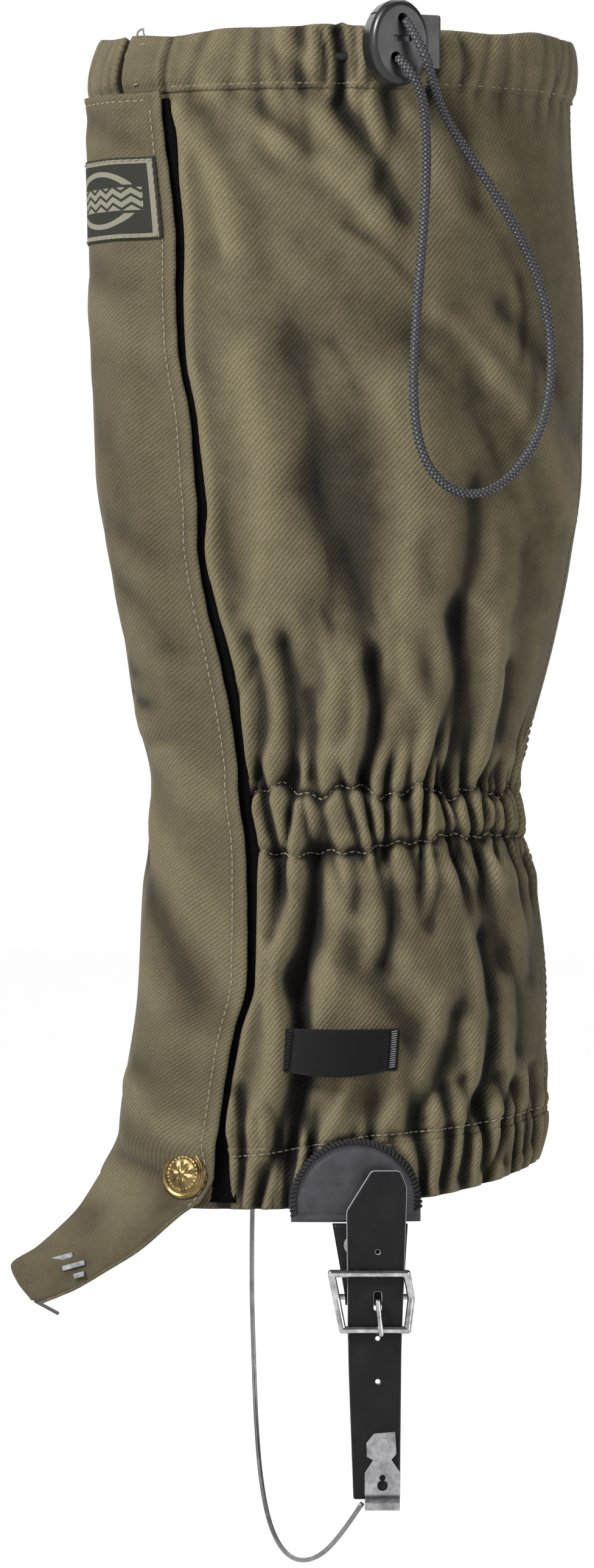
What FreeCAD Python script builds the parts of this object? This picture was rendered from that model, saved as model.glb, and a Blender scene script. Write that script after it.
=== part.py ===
import FreeCAD, Part
import math
import os
from FreeCAD import Vector

# Left gaiter, in millimetres. +Z is up the leg, -X is the toe, -Y is the outer side of the leg.
# The origin is the centre of the bottom opening, at the front of the hem.

# ---- driving dimensions ------------------------------------------------------------------------------
HEIGHT = 427.0                 # bottom of the hem to the top edge
PANEL_THICK = 1.2              # coated twill with its lining
BACK_SEAM = 180.0              # the seam up the back, round from the front
ZIP_ANGLE = 30.0               # where the zip runs, round from the front towards the outer side
TAPE_WIDTH = 7.0               # each zip tape, from its free edge to the middle of the zip
TAPE_THICK = 0.8
COIL_WIDTH = 1.9
COIL_HALF_GAP = 0.65
COIL_HEIGHT = 1.0              # above and below the tape's middle
ZIP_LOW = 6.0
ZIP_HIGH = 401.0
ZIP_STRAIGHT_LOW = 270.0       # the zip is straight from here up to the top hem
SLIDER_HEIGHT = 392.0          # the slider's place when the zip is closed
TOP_HEM_HEIGHT = 21.0
TOP_HEM_ENDS = (32.0, 388.0)   # the casing's two ends at the closure, round from the front
LOW_HEM_HEIGHT = 22.0
LOW_HEM_ENDS = (35.0, 385.0)
HEM_ELASTIC_ENDS = (39.5, 380.5)
ANKLE_ELASTIC_ENDS = (40.0, 380.0)
ANKLE_TAPE_ENDS = (39.0, 381.0)
ALL_ROUND = (30.0, 390.0)      # a cutter that runs out through both ends
BAND_POINTS = 33               # points along a section that goes all round
PANEL_POINTS = 21
ANKLE_LOW = 131.0
ANKLE_HIGH = 155.0
FLAP_THICK = 1.2
FLAP_ROOT_ANGLE = 2.0
STRIP_THICK = 0.9              # each half of the hook-and-loop closure
DRAWCORD_DIA = 3.3
WIRE_DIA = 1.8
STRAP_THICK = 2.6
BUCKLE_WIRE = 1.4              # radius
CENTRE_BAR = 1.1               # radius
BUCKLE_FRONT = -1.6            # the frame's sides, towards the toe and the heel
BUCKLE_BACK = 25.4
BAR_HEIGHT = -31.0             # the buckle's centre bar
BAR_DEPTH = -49.6
STRAP_BACK = -53.4             # back face of the lower strap
PATCH_LOW = -4.0
PATCH_CENTRE = 5.5
PATCH_RADIUS = 23.5
LOCK_CENTRE = (19.5, -66.2, 420.0)
LOCK_TURN = 20.0               # the cord lock's face turns this far towards the heel
LOCK_DEPTH = 12.0
LOCK_HOLES = ((-2.0, -5.6), (0.6, 8.4))   # cord holes, across and up from the lock's centre
LOCK_PLAY = 0.35               # clearance round the push button
EYELET_ANGLES = (36.5, 101.0, 107.0)
EYELET_HEIGHT = 416.5
SNAP_HEIGHT = 13.0
SNAP_SHARE = 0.72              # the snap's place across the flap
SNAP_GAP = 4.6                 # from the flap's inner face to the leg's surface at the snap
HOOK_HEIGHT = -22.0            # the lace hook's place on the tongue
HOOK_SHARE = 0.48
HOOK_LEG = ((-112.6, -34.2), (-112.2, -35.9), (-103.5, -40.6), (-103.0, -39.7), (-111.4, -35.2),
            (-111.2, -34.2))
PRONG_BARS = ((-3.5, 2.8, 9.0), (1.7, 0.1, 9.5), (4.4, -3.3, 4.5))   # across, up, length
PRONG_TILT = 16.0
PRONG_X = 13.3
STRAP_HOLES = (-14.3, -45.5, -61.0)
STRAP_HOLE_RADIUS = 0.8
CLEAR = 9.0                    # how far a cutter reaches past what it cuts
RIVET = (4.6, -12.0)
CLIP_X = 15.0
CLIP_RIVET_Z = -83.6
KEEPER_START = 77.0
KEEPER_END = 103.0

# The leg's outline by height: height, front edge, back edge, half depth, rise of the back edge.
STATIONS = (
    (0.0, -80.0, 72.0, 47.0, 12.0),
    (22.0, -80.0, 75.0, 49.5, 8.5),
    (77.0, -73.0, 75.5, 50.0, 0.0),
    (117.0, -71.0, 71.5, 46.0, 0.0),
    (131.0, -69.0, 68.0, 44.0, 0.0),
    (155.0, -68.0, 65.0, 43.5, 0.0),
    (182.0, -74.0, 72.0, 47.0, 0.0),
    (209.0, -78.0, 79.0, 50.0, 0.0),
    (236.0, -83.0, 84.5, 53.0, 0.0),
    (270.0, -88.5, 88.5, 55.5, 0.0),
    (406.0, -91.5, 84.5, 57.0, 0.0),
    (427.0, -88.0, 85.0, 57.0, 0.0),
)

# The flap's free edge by height: height, angle round from the front.
FLAP_EDGE = ((22.0, 58.0), (64.0, 60.0), (90.0, 62.0), (130.0, 61.5), (169.0, 57.0), (209.0, 54.0),
             (275.0, 51.0), (315.0, 50.0), (406.0, 48.0))

# The flap's lower end, which runs into the instep tongue: height, front point, bulge, back point.
TONGUE = (
    (11.0, (-87.0, -13.0), (-60.5, -42.0), (-46.0, -44.4)),
    (3.0, (-92.5, -13.0), (-65.0, -41.5), (-51.0, -43.4)),
    (-2.2, (-96.4, -13.0), (-71.0, -38.0), (-58.0, -40.8)),
    (-15.4, (-109.6, -13.0), (-88.0, -30.0), (-73.0, -35.0)),
    (-28.6, (-118.4, -13.5), (-104.0, -22.0), (-94.0, -26.0)),
    (-35.0, (-113.5, -17.0), (-111.0, -18.6), (-108.5, -20.0)),
)

# The hanging loop of drawcord, hole to hole, points set by hand.
LOOP_ROUTE = (
    (20.4, -74.0, 414.0), (24.4, -77.4, 409.4), (28.6, -74.4, 402.4), (30.4, -69.0, 392.0),
    (30.9, -63.6, 377.0), (30.0, -61.2, 357.0), (27.8, -61.6, 332.0), (26.1, -62.0, 307.0),
    (26.2, -62.0, 286.0), (29.8, -61.4, 270.5), (38.0, -59.6, 260.6), (48.5, -56.4, 258.2),
    (58.6, -52.0, 262.6), (67.4, -46.4, 272.4), (74.0, -41.0, 286.2), (76.8, -38.6, 303.0),
    (76.2, -39.2, 321.0), (71.6, -43.2, 338.6), (63.6, -49.0, 355.0), (53.4, -54.6, 371.0),
    (43.0, -59.6, 385.4), (35.6, -66.4, 397.0), (32.6, -73.6, 407.0), (29.2, -78.0, 417.0),
    (23.2, -73.2, 427.6),
)

# The steel wire under the foot, from the inner patch to the end clip, points set by hand.
WIRE_ROUTE = (
    (-32.6, 48.5, -3.0), (-33.1, 48.8, -30.0), (-32.3, 47.0, -58.0), (-31.4, 39.5, -83.0),
    (-29.4, 23.5, -106.5), (-25.4, 2.0, -122.4), (-18.6, -21.0, -129.6), (-9.6, -40.0, -127.6),
    (-0.6, -52.6, -118.0), (7.6, -58.4, -104.6),
)

os.makedirs("parts", exist_ok=True)


def save(name, shape):
    """Write one named piece as its own STEP file."""
    shape.exportStep("parts/" + name + ".step")


# ---- the leg's surface -------------------------------------------------------------------------------
def between(table, height):
    """A row of the table at this height, straight-line between its rows."""
    rows = sorted(table)
    low = rows[0]
    high = rows[1]
    for first, second in zip(rows, rows[1:]):
        if height >= first[0]:
            low = first
            high = second
    share = (height - low[0]) / (high[0] - low[0])
    return [a + (b - a) * share for a, b in zip(low, high)]


def leg_point(height, angle, offset=0.0):
    """A point on the leg's outer surface, moved outwards by offset."""
    level, front, back, half_depth, rise = between(STATIONS, height)
    centre = (front + back) / 2.0
    half_width = (back - front) / 2.0
    turn = math.radians(angle)
    normal = Vector(-math.cos(turn) / half_width, -math.sin(turn) / half_depth, 0.0)
    normal.normalize()
    point = Vector(centre - half_width * math.cos(turn), -half_depth * math.sin(turn), level)
    point = point + normal * offset
    point.z = level + rise * (point.x - front) / (back - front)
    return point


def zip_angle(height, distance):
    """The angle that lies this far round the leg from the zip's middle."""
    level, front, back, half_depth, rise = between(STATIONS, height)
    turn = math.radians(ZIP_ANGLE)
    along = math.hypot((back - front) / 2.0 * math.sin(turn), half_depth * math.cos(turn))
    return ZIP_ANGLE + math.degrees(distance / along)


def flap_offset(share, height):
    """How far the flap's inner face stands off the leg, from its root (0) to its free edge (1)."""
    edge = 0.6 + 5.2 * min(1.0, share / 0.36)
    rest = 2.25 if height > 30.0 else 4.2
    if share > 0.62:
        fall = min(1.0, (share - 0.62) / 0.2)
        edge = 5.8 + (rest - 5.8) * fall
    return edge


def flap_point(height, share, offset=0.0):
    """A point on the flap's inner face, moved outwards by offset."""
    if height >= 22.0:
        free = between(FLAP_EDGE, height)[1]
        angle = FLAP_ROOT_ANGLE + (free - FLAP_ROOT_ANGLE) * share
        point = leg_point(height, angle, flap_offset(share, height) + offset)
        return Vector(point.x, point.y, height)
    rows = sorted(TONGUE)
    if height >= 11.0:
        low = tongue_curve(rows[-1], share, offset)
        high = flap_point(22.0, share, offset)
        part = (height - 11.0) / 11.0
        return low + (high - low) * part
    for first, second in zip(rows, rows[1:]):
        if first[0] <= height <= second[0]:
            low = tongue_curve(first, share, offset)
            high = tongue_curve(second, share, offset)
            part = (height - first[0]) / (second[0] - first[0])
            return low + (high - low) * part
    raise ValueError("the flap has no point at this height")


def tongue_curve(row, share, offset):
    """A point on one level of the tongue, on a curve through its three control points."""
    height, start, bulge, end = row
    weights = ((1.0 - share) ** 2, 2.0 * share * (1.0 - share), share ** 2)
    x = sum(w * p[0] for w, p in zip(weights, (start, bulge, end)))
    y = sum(w * p[1] for w, p in zip(weights, (start, bulge, end)))
    dx = 2.0 * (1.0 - share) * (bulge[0] - start[0]) + 2.0 * share * (end[0] - bulge[0])
    dy = 2.0 * (1.0 - share) * (bulge[1] - start[1]) + 2.0 * share * (end[1] - bulge[1])
    out = Vector(dy, -dx, 0.0)
    out.normalize()
    return Vector(x, y, height) + out * offset


def section(surface, height, start, end, inner, outer, count):
    """One closed cross-section of a skin, between two offsets from a surface."""
    shares = [start + (end - start) * i / (count - 1) for i in range(count)]
    outside = [surface(height, s, outer) for s in shares]
    inside = [surface(height, s, inner) for s in reversed(shares)]
    first = Part.BSplineCurve()
    first.interpolate(outside)
    second = Part.BSplineCurve()
    second.interpolate(inside)
    edges = [first.toShape(), Part.LineSegment(outside[-1], inside[0]).toShape()]
    edges += [second.toShape(), Part.LineSegment(inside[-1], outside[0]).toShape()]
    return Part.Wire(edges)


def skin(surface, low, high, start, end, inner, outer, levels, count=15):
    """A thin curved solid that follows a surface; start and end may depend on the height."""
    heights = [low] + [z for z in sorted(levels) if low + 1.0 < z < high - 1.0] + [high]
    sections = []
    for height in heights:
        first = start(height) if callable(start) else start
        last = end(height) if callable(end) else end
        sections.append(section(surface, height, first, last, inner, outer, count))
    return Part.makeLoft(sections, True, True)


LEG_LEVELS = [row[0] for row in STATIONS]
FLAP_LEVELS = sorted(set(LEG_LEVELS[1:-1] + [row[0] for row in FLAP_EDGE[:-1]]))
TONGUE_LEVELS = [row[0] for row in TONGUE]


def leg_skin(low, high, start, end, inner, outer, count=15):
    """A thin curved solid on the leg's surface, between two angles."""
    return skin(leg_point, low, high, start, end, inner, outer, LEG_LEVELS, count)


def flap_skin(low, high, start, end, inner, outer, count=11):
    """A thin curved solid on the flap's surface, between two shares of its width."""
    return skin(flap_point, low, high, start, end, inner, outer, FLAP_LEVELS + TONGUE_LEVELS, count)


# ---- placing small pieces ----------------------------------------------------------------------------
def frame_at(surface, height, share, offset=0.0, step=1.0):
    """Origin and directions (across, outwards, up) of a surface at a point."""
    origin = surface(height, share, offset)
    across = surface(height, share + step, offset) - surface(height, share - step, offset)
    up = surface(height + 3.0, share, offset) - surface(height - 3.0, share, offset)
    across.normalize()
    out = up.cross(across)
    out.normalize()
    if out.dot(surface(height, share, offset + 1.0) - origin) < 0:
        out = out * -1.0
    up = across.cross(out)
    if up.z < 0:
        up = up * -1.0
    return origin, across, out, up


def place(shape, frame):
    """Move a shape drawn as (across, outwards, up) onto a surface frame."""
    origin, across, out, up = frame
    matrix = FreeCAD.Matrix(across.x, out.x, up.x, origin.x, across.y, out.y, up.y, origin.y,
                            across.z, out.z, up.z, origin.z, 0, 0, 0, 1)
    moved = shape.copy()
    moved.transformShape(matrix)
    return moved


def block(x0, x1, y0, y1, z0, z1):
    """A box between two corners."""
    return Part.makeBox(x1 - x0, y1 - y0, z1 - z0, Vector(x0, y0, z0))


def rod(start, end, radius):
    """A round bar between two points."""
    first = Vector(*start)
    along = Vector(*end) - first
    return Part.makeCylinder(radius, along.Length, first, along)


def plate(points, y0, y1):
    """A flat plate facing -Y, from its outline as (x, z) corners."""
    corners = [Vector(x, y0, z) for x, z in points]
    face = Part.Face(Part.makePolygon(corners + [corners[0]]))
    return face.extrude(Vector(0, y1 - y0, 0))


def tube(points, diameter, name):
    """A cord's tube: straight runs joined by arcs as large as the runs allow."""
    route = [Vector(*p) for p in points]
    edges = []
    radii = []
    here = route[0]
    for before, corner, after in zip(route, route[1:], route[2:]):
        come = corner - before
        leave = after - corner
        turn = come.getAngle(leave)
        reach = 0.45 * min(come.Length, leave.Length)
        radii.append(reach / math.tan(turn / 2.0))
        come.normalize()
        leave.normalize()
        start = corner - come * reach
        end = corner + leave * reach
        middle = (leave - come)
        middle.normalize()
        sag = radii[-1] * (1.0 / math.cos(turn / 2.0) - 1.0)
        edges.append(Part.LineSegment(here, start).toShape())
        edges.append(Part.Arc(start, corner + middle * sag, end).toShape())
        here = end
    edges.append(Part.LineSegment(here, route[-1]).toShape())
    path = Part.Wire(edges)
    along = route[1] - route[0]
    ring = Part.Wire(Part.Circle(route[0], along, diameter / 2.0).toShape())
    solid = path.makePipeShell([ring], True, False)
    expected = math.pi * diameter ** 2 / 4.0 * path.Length
    print(name, "length", round(path.Length, 1), "smallest radius", round(min(radii), 1),
          "volume share", round(solid.Volume / expected, 3))
    return solid


# ---- fabric body -------------------------------------------------------------------------------------
def panel_front(height):
    return zip_angle(height, -TAPE_WIDTH) + 360.0


def panel_back(height):
    return zip_angle(height, TAPE_WIDTH)


def make_panels():
    """The two panels meet at the back seam and stop at the zip tapes."""
    top = HEIGHT - TOP_HEM_HEIGHT
    outer = leg_skin(LOW_HEM_HEIGHT, top, panel_back, BACK_SEAM, -PANEL_THICK, 0.0, PANEL_POINTS)
    inner = leg_skin(LOW_HEM_HEIGHT, top, BACK_SEAM, panel_front, -PANEL_THICK, 0.0, PANEL_POINTS)
    save("outer_panel", outer)
    save("inner_panel", inner)


def make_top_hem():
    """A casing open at the front closure, with the drawcord's channel inside it."""
    low = HEIGHT - TOP_HEM_HEIGHT
    casing = leg_skin(low, HEIGHT, *TOP_HEM_ENDS, -3.0, 1.8, BAND_POINTS)
    channel = leg_skin(low + 4.0, HEIGHT - 4.0, *ALL_ROUND, -2.2, 1.2, BAND_POINTS)
    for angle in EYELET_ANGLES:
        across = place(rod((0, 0, 0), (0, 6, 0), 2.0), frame_at(leg_point, EYELET_HEIGHT, angle))
        casing = casing.cut(across)
    save("top_hem", casing.cut(channel))
    rings = []
    for angle in EYELET_ANGLES:
        ring = rod((0, 1.8, 0), (0, 2.5, 0), 3.6).cut(rod((0, 1, 0), (0, 4, 0), 2.0))
        rings.append(place(ring, frame_at(leg_point, EYELET_HEIGHT, angle)))
    save("hem_eyelets", Part.makeCompound(rings))
    spans = ((EYELET_ANGLES[0] + 9.0, EYELET_ANGLES[1] - 1.0), (EYELET_ANGLES[2] + 1.0, 383.0))
    cords = []
    for start, end in spans:
        steps = int((end - start) / 4.5)
        angles = [start + (end - start) * i / steps for i in range(steps + 1)]
        points = [tuple(leg_point(EYELET_HEIGHT, a, -0.5)) for a in angles]
        cords.append(tube(points, DRAWCORD_DIA - 0.3, "hem drawcord"))
    save("hem_drawcord", Part.makeCompound(cords))


def make_lower_hem():
    """The turned-up bottom edge, a U in section, and the elastic that gathers it."""
    fold = leg_skin(0.0, LOW_HEM_HEIGHT, *LOW_HEM_ENDS, -1.9, 0.8, BAND_POINTS)
    inside = leg_skin(2.0, LOW_HEM_HEIGHT + 2.0, *ALL_ROUND, -1.1, 0.0, BAND_POINTS)
    save("lower_hem", fold.cut(inside))
    save("hem_elastic", leg_skin(3.0, 20.0, *HEM_ELASTIC_ENDS, -1.0, -0.1, BAND_POINTS))


def make_ankle():
    """The ankle elastic and the tape that holds it to the panels."""
    save("ankle_elastic", leg_skin(ANKLE_LOW, ANKLE_HIGH, *ANKLE_ELASTIC_ENDS, -2.3, -1.35, BAND_POINTS))
    tape = leg_skin(ANKLE_LOW - 3.0, ANKLE_HIGH + 3.0, *ANKLE_TAPE_ENDS, -3.0, -2.45, BAND_POINTS)
    save("ankle_tape", tape)


# ---- zip ---------------------------------------------------------------------------------------------
def zip_strip(low, high, near, far, inner, outer):
    """A strip between two distances from the zip's middle."""
    return leg_skin(low, high, lambda z: zip_angle(z, near), lambda z: zip_angle(z, far), inner, outer, 5)


def zip_frame():
    """The slider's frame: its up direction is the zip's own straight line."""
    low = leg_point(ZIP_STRAIGHT_LOW, ZIP_ANGLE)
    high = leg_point(HEIGHT - TOP_HEM_HEIGHT, ZIP_ANGLE)
    up = high - low
    up.normalize()
    across = leg_point(340.0, ZIP_ANGLE + 1.0) - leg_point(340.0, ZIP_ANGLE - 1.0)
    across.normalize()
    out = across.cross(up) * -1.0
    out.normalize()
    if out.y > 0:
        out = out * -1.0
    across = up.cross(out) * -1.0
    origin = leg_point(SLIDER_HEIGHT, ZIP_ANGLE)
    return origin, across, out, up


def make_zip():
    """Two tapes, two coils, the slider with its pull, and the stops at both ends."""
    middle = -TAPE_THICK / 2.0 - 0.2
    for side, name in ((-1.0, "front"), (1.0, "back")):
        near = COIL_HALF_GAP * side
        far = TAPE_WIDTH * side
        coil_far = (COIL_HALF_GAP + COIL_WIDTH) * side
        inner = middle - TAPE_THICK / 2.0
        outer = middle + TAPE_THICK / 2.0
        ends = sorted((coil_far + 0.05 * side, far))
        save("zip_tape_" + name, zip_strip(ZIP_LOW, HEIGHT - TOP_HEM_HEIGHT, ends[0], ends[1], inner, outer))
        ends = sorted((near, coil_far))
        coil = zip_strip(ZIP_LOW + 6.0, ZIP_HIGH - 3.0, ends[0], ends[1], middle - COIL_HEIGHT,
                         middle + COIL_HEIGHT)
        save("zip_coil_" + name, coil)
    frame = zip_frame()
    top = block(-4.6, 4.6, 0.9, 1.9, -6.0, 6.0)
    bottom = block(-4.6, 4.6, -3.2, -2.2, -6.0, 6.0)
    web = block(-0.3, 0.3, -3.0, 1.5, 0.0, 5.8)
    posts = block(-0.8, 0.8, 1.8, 4.5, -4.0, -2.4).fuse(block(-0.8, 0.8, 1.8, 4.5, 2.4, 4.0))
    arch = block(-0.8, 0.8, 3.7, 4.5, -4.0, 4.0)
    slider = top.fuse([bottom, web, posts, arch]).removeSplitter()
    save("zip_slider", place(slider, frame))
    pin = rod((-2.6, 2.8, 0.0), (2.6, 2.8, 0.0), 0.6)
    arms = block(-2.9, -1.9, 2.3, 3.2, -6.6, 0.6).fuse(block(1.9, 2.9, 2.3, 3.2, -6.6, 0.6))
    tab = block(-2.9, 2.9, 2.3, 3.2, -16.0, -6.4).cut(rod((0, 0, -13.0), (0, 6, -13.0), 1.2))
    save("zip_pull", place(pin.fuse([arms, tab]).removeSplitter(), frame))
    stops = []
    for side in (-1.0, 1.0):
        ends = sorted((0.9 * side, 3.0 * side))
        stops.append(zip_strip(ZIP_HIGH - 2.6, ZIP_HIGH + 0.4, ends[0], ends[1], -1.8, -1.02))
        stops.append(zip_strip(ZIP_HIGH - 2.6, ZIP_HIGH + 0.4, ends[0], ends[1], -0.18, 0.5))
    save("zip_top_stops", Part.makeCompound(stops))
    save("zip_bottom_stop", zip_strip(ZIP_LOW, ZIP_LOW + 5.8, -2.5, 2.5, -1.8, 0.7))


# ---- storm flap --------------------------------------------------------------------------------------
def loop_start(height):
    return between(FLAP_EDGE, height)[1] - 9.0


def loop_end(height):
    return between(FLAP_EDGE, height)[1] + 2.6


def make_flap():
    """The flap that covers the zip, in one piece with the instep tongue."""
    top = HEIGHT - TOP_HEM_HEIGHT - 0.5
    save("storm_flap", flap_skin(-35.0, top, 0.0, 1.0, 0.0, FLAP_THICK))
    save("flap_hook_strip", flap_skin(34.0, top - 3.0, 0.84, 0.985, -STRIP_THICK, -0.02, 5))
    loop = leg_skin(LOW_HEM_HEIGHT + 2.0, top - 3.0, loop_start, loop_end, 0.12, STRIP_THICK, 9)
    save("body_loop_strip", loop)
    save("flap_label", flap_skin(352.0, 382.0, 0.14, 0.96, FLAP_THICK + 0.2, FLAP_THICK + 0.75, 9))


def make_snap():
    """Cap and socket on the flap, stud and post on the hem underneath, all on one axis."""
    axis = frame_at(flap_point, SNAP_HEIGHT, SNAP_SHARE, 0.0, 0.03)
    face = FLAP_THICK + 0.2
    cap = rod((0, face, 0), (0, face + 1.3, 0), 9.2)
    dome = Part.makeSphere(24.0, Vector(0, face + 2.6 - 24.0, 0)).common(rod((0, face, 0), (0, 9, 0), 8.0))
    save("snap_cap", place(cap.fuse(dome).removeSplitter(), axis))
    socket = rod((0, -2.9, 0), (0, -0.6, 0), 6.6).cut(rod((0, -4, 0), (0, -1.2, 0), 5.2))
    save("snap_socket", place(socket, axis))
    hem_face = -SNAP_GAP + 0.8
    stud = rod((0, hem_face + 0.15, 0), (0, hem_face + 0.5, 0), 6.0)
    stud = stud.fuse(rod((0, hem_face + 0.2, 0), (0, hem_face + 2.0, 0), 2.6))
    save("snap_stud", place(stud.removeSplitter(), axis))
    save("snap_post", place(rod((0, -SNAP_GAP - 2.9, 0), (0, -SNAP_GAP - 2.3, 0), 6.0), axis))


def make_lace_hook():
    """A flat steel hook behind the tongue: base, neck to the tip, return leg, and clenched prongs."""
    axis = frame_at(flap_point, HOOK_HEIGHT, HOOK_SHARE, 0.0, 0.05)
    base = place(block(-5.0, 5.0, -1.9, -0.95, -5.0, 5.0), axis)
    sides = (HOOK_SHARE - 0.2, HOOK_SHARE + 0.2)
    neck = skin(flap_point, -34.6, HOOK_HEIGHT - 3.0, *sides, -1.9, -0.95, TONGUE_LEVELS, 5)
    leg = plate(HOOK_LEG, -17.1, -13.6)
    save("lace_hook", base.fuse([neck, leg]).removeSplitter())
    bars = []
    for x, z, length in PRONG_BARS:
        bar = block(-length / 2.0, length / 2.0, FLAP_THICK + 0.1, FLAP_THICK + 0.9, -0.9, 0.9)
        bar.rotate(Vector(0, 0, 0), Vector(0, 1, 0), -PRONG_TILT)
        bar.translate(Vector(x, 0, z))
        bars.append(place(bar, axis))
    save("lace_hook_prongs", Part.makeCompound(bars))


# ---- cord lock ---------------------------------------------------------------------------------------
def make_cord_lock():
    """Oval body with two cord holes, a push button at its back edge, and the spring behind it."""
    half = LOCK_DEPTH / 2.0
    drum = Part.makeCylinder(15.0, LOCK_DEPTH, Vector(0, half, 0), Vector(0, -1, 0))
    rims = [e for e in drum.Edges if abs(e.Length - 2.0 * math.pi * 15.0) < 1.0]
    drum = drum.makeFillet(3.0, rims)
    stretch = FreeCAD.Matrix()
    stretch.scale(0.75, 1.0, 1.04)
    body = drum.transformGeometry(stretch)
    body = body.cut(block(-8.5, 20.0, -3.2, 3.2, -9.0, 10.8))
    for x, z in LOCK_HOLES:
        body = body.cut(rod((x, half + 1.0, z), (x, -half - 1.0, z), 1.95))
    body = body.cut(block(-3.0, 4.0, -half - 1.0, -half + 1.2, 0.2, 2.4))
    save("cord_lock_body", turn_lock(body))
    button = block(-0.1, 16.8, -3.2 + LOCK_PLAY, 3.2 - LOCK_PLAY, -9.0 + LOCK_PLAY, 10.8 - LOCK_PLAY)
    ends = [e for e in button.Edges if min(v.X for v in e.Vertexes) > 16.0]
    button = button.makeFillet(1.6, ends)
    for x, z in LOCK_HOLES:
        button = button.cut(rod((x + 1.2, half, z), (x + 1.2, -half, z), 2.0))
    save("cord_lock_button", turn_lock(button))
    coils = [Part.makeTorus(2.2, 0.4, Vector(-7.9 + i, 0, -0.6), Vector(1, 0, 0)) for i in range(4)]
    save("cord_lock_spring", turn_lock(Part.makeCompound(coils)))


def turn_lock(shape):
    """Move a cord lock piece from its own centre to its place on the hem."""
    moved = shape.copy()
    moved.rotate(Vector(0, 0, 0), Vector(0, 0, 1), LOCK_TURN)
    moved.translate(Vector(*LOCK_CENTRE))
    return moved


# ---- under-foot stirrup ------------------------------------------------------------------------------
def half_moon(centre, y0, y1):
    """The patch's outline: a half circle over a straight bottom edge, as a thick cutter."""
    disc = rod((centre, y0, 2.5), (centre, y1, 2.5), PATCH_RADIUS)
    return disc.common(block(centre - 40.0, centre + 40.0, y0, y1, PATCH_LOW, 60.0))


def patch_skin(start, end, inner, outer):
    """A level strip round the lower hem that reaches a little below it."""
    return skin(level_point, PATCH_LOW - 2.0, 32.0, start, end, inner, outer, (4.0, 12.0, 22.0))


def level_point(height, angle, offset=0.0):
    """The leg's surface by true height, ignoring the hem's rise towards the back."""
    point = leg_point(max(height, 0.0), angle, offset)
    return Vector(point.x, point.y, height)


def make_patches():
    """Leather patches that carry the stirrup on both sides."""
    outer = patch_skin(55.0, 125.0, 1.0, 3.0)
    save("outer_patch", outer.common(half_moon(PATCH_CENTRE, -70.0, -20.0)))
    inner = patch_skin(235.0, 325.0, 1.0, 3.0)
    save("inner_patch", inner.common(half_moon(WIRE_ROUTE[0][0] + 3.0, 20.0, 70.0)))
    x, y, z = WIRE_ROUTE[0]
    save("wire_ferrule", rod((x, y + 0.3, z + 0.4), (x, y + 0.3, z + 12.0), 1.9))


def lower_strap_outline():
    """The adjustable strap, wider at its pointed tip than at the clip."""
    return ((2.0, 0.5), (11.0, 15.0), (21.5, 15.0), (23.9, 9.0), (23.5, -4.0), (21.9, -50.0),
            (21.4, -103.5), (4.4, -103.5), (2.6, -55.0))


def make_straps():
    """The upper strap folded round the buckle's centre bar, and the adjustable strap in front."""
    inner = CENTRE_BAR + 0.1
    outer = inner + 2.0
    top = PATCH_LOW - 0.6
    fold = rod((1.6, BAR_DEPTH, BAR_HEIGHT), (22.6, BAR_DEPTH, BAR_HEIGHT), outer)
    fold = fold.cut(rod((0, BAR_DEPTH, BAR_HEIGHT), (30, BAR_DEPTH, BAR_HEIGHT), inner))
    fold = fold.cut(block(0, 30, BAR_DEPTH - 9, BAR_DEPTH + 9, BAR_HEIGHT, BAR_HEIGHT + 9))
    front = plate(((-3.0, top), (24.2, top), (22.6, BAR_HEIGHT), (1.6, BAR_HEIGHT)),
                  BAR_DEPTH - outer, BAR_DEPTH - inner)
    back = front.copy()
    back.translate(Vector(0, outer + inner, 0))
    slot = block(PRONG_X - 2.2, PRONG_X + 2.2, BAR_DEPTH - 9, BAR_DEPTH + 9, BAR_HEIGHT - 9, BAR_HEIGHT + 4)
    strap = fold.fuse([front, back]).removeSplitter().cut(slot)
    rivet_hole = rod((RIVET[0], BAR_DEPTH - 9, RIVET[1]), (RIVET[0], BAR_DEPTH + 9, RIVET[1]), 1.5)
    save("upper_strap", strap.cut(rivet_hole))
    stem = rod((RIVET[0], BAR_DEPTH - outer, RIVET[1]), (RIVET[0], BAR_DEPTH + outer, RIVET[1]), 1.45)
    head = rod((RIVET[0], BAR_DEPTH - outer - 0.45, RIVET[1]), (RIVET[0], BAR_DEPTH - outer, RIVET[1]), 3.5)
    tail = rod((RIVET[0], BAR_DEPTH + outer, RIVET[1]), (RIVET[0], BAR_DEPTH + outer + 0.6, RIVET[1]), 3.0)
    save("strap_rivet", stem.fuse([head, tail]).removeSplitter())
    lower = plate(lower_strap_outline(), STRAP_BACK - STRAP_THICK, STRAP_BACK)
    for z in STRAP_HOLES:
        start = (PRONG_X, STRAP_BACK - CLEAR, z)
        lower = lower.cut(rod(start, (PRONG_X, STRAP_BACK + CLEAR, z), STRAP_HOLE_RADIUS))
    lower = lower.cut(block(PRONG_X - 1.5, PRONG_X + 1.5, -70, -40, BAR_HEIGHT - 4.5, BAR_HEIGHT + 2.5))
    save("lower_strap", lower.cut(rod((CLIP_X, -70, CLIP_RIVET_Z), (CLIP_X, -40, CLIP_RIVET_Z), 1.25)))


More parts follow.
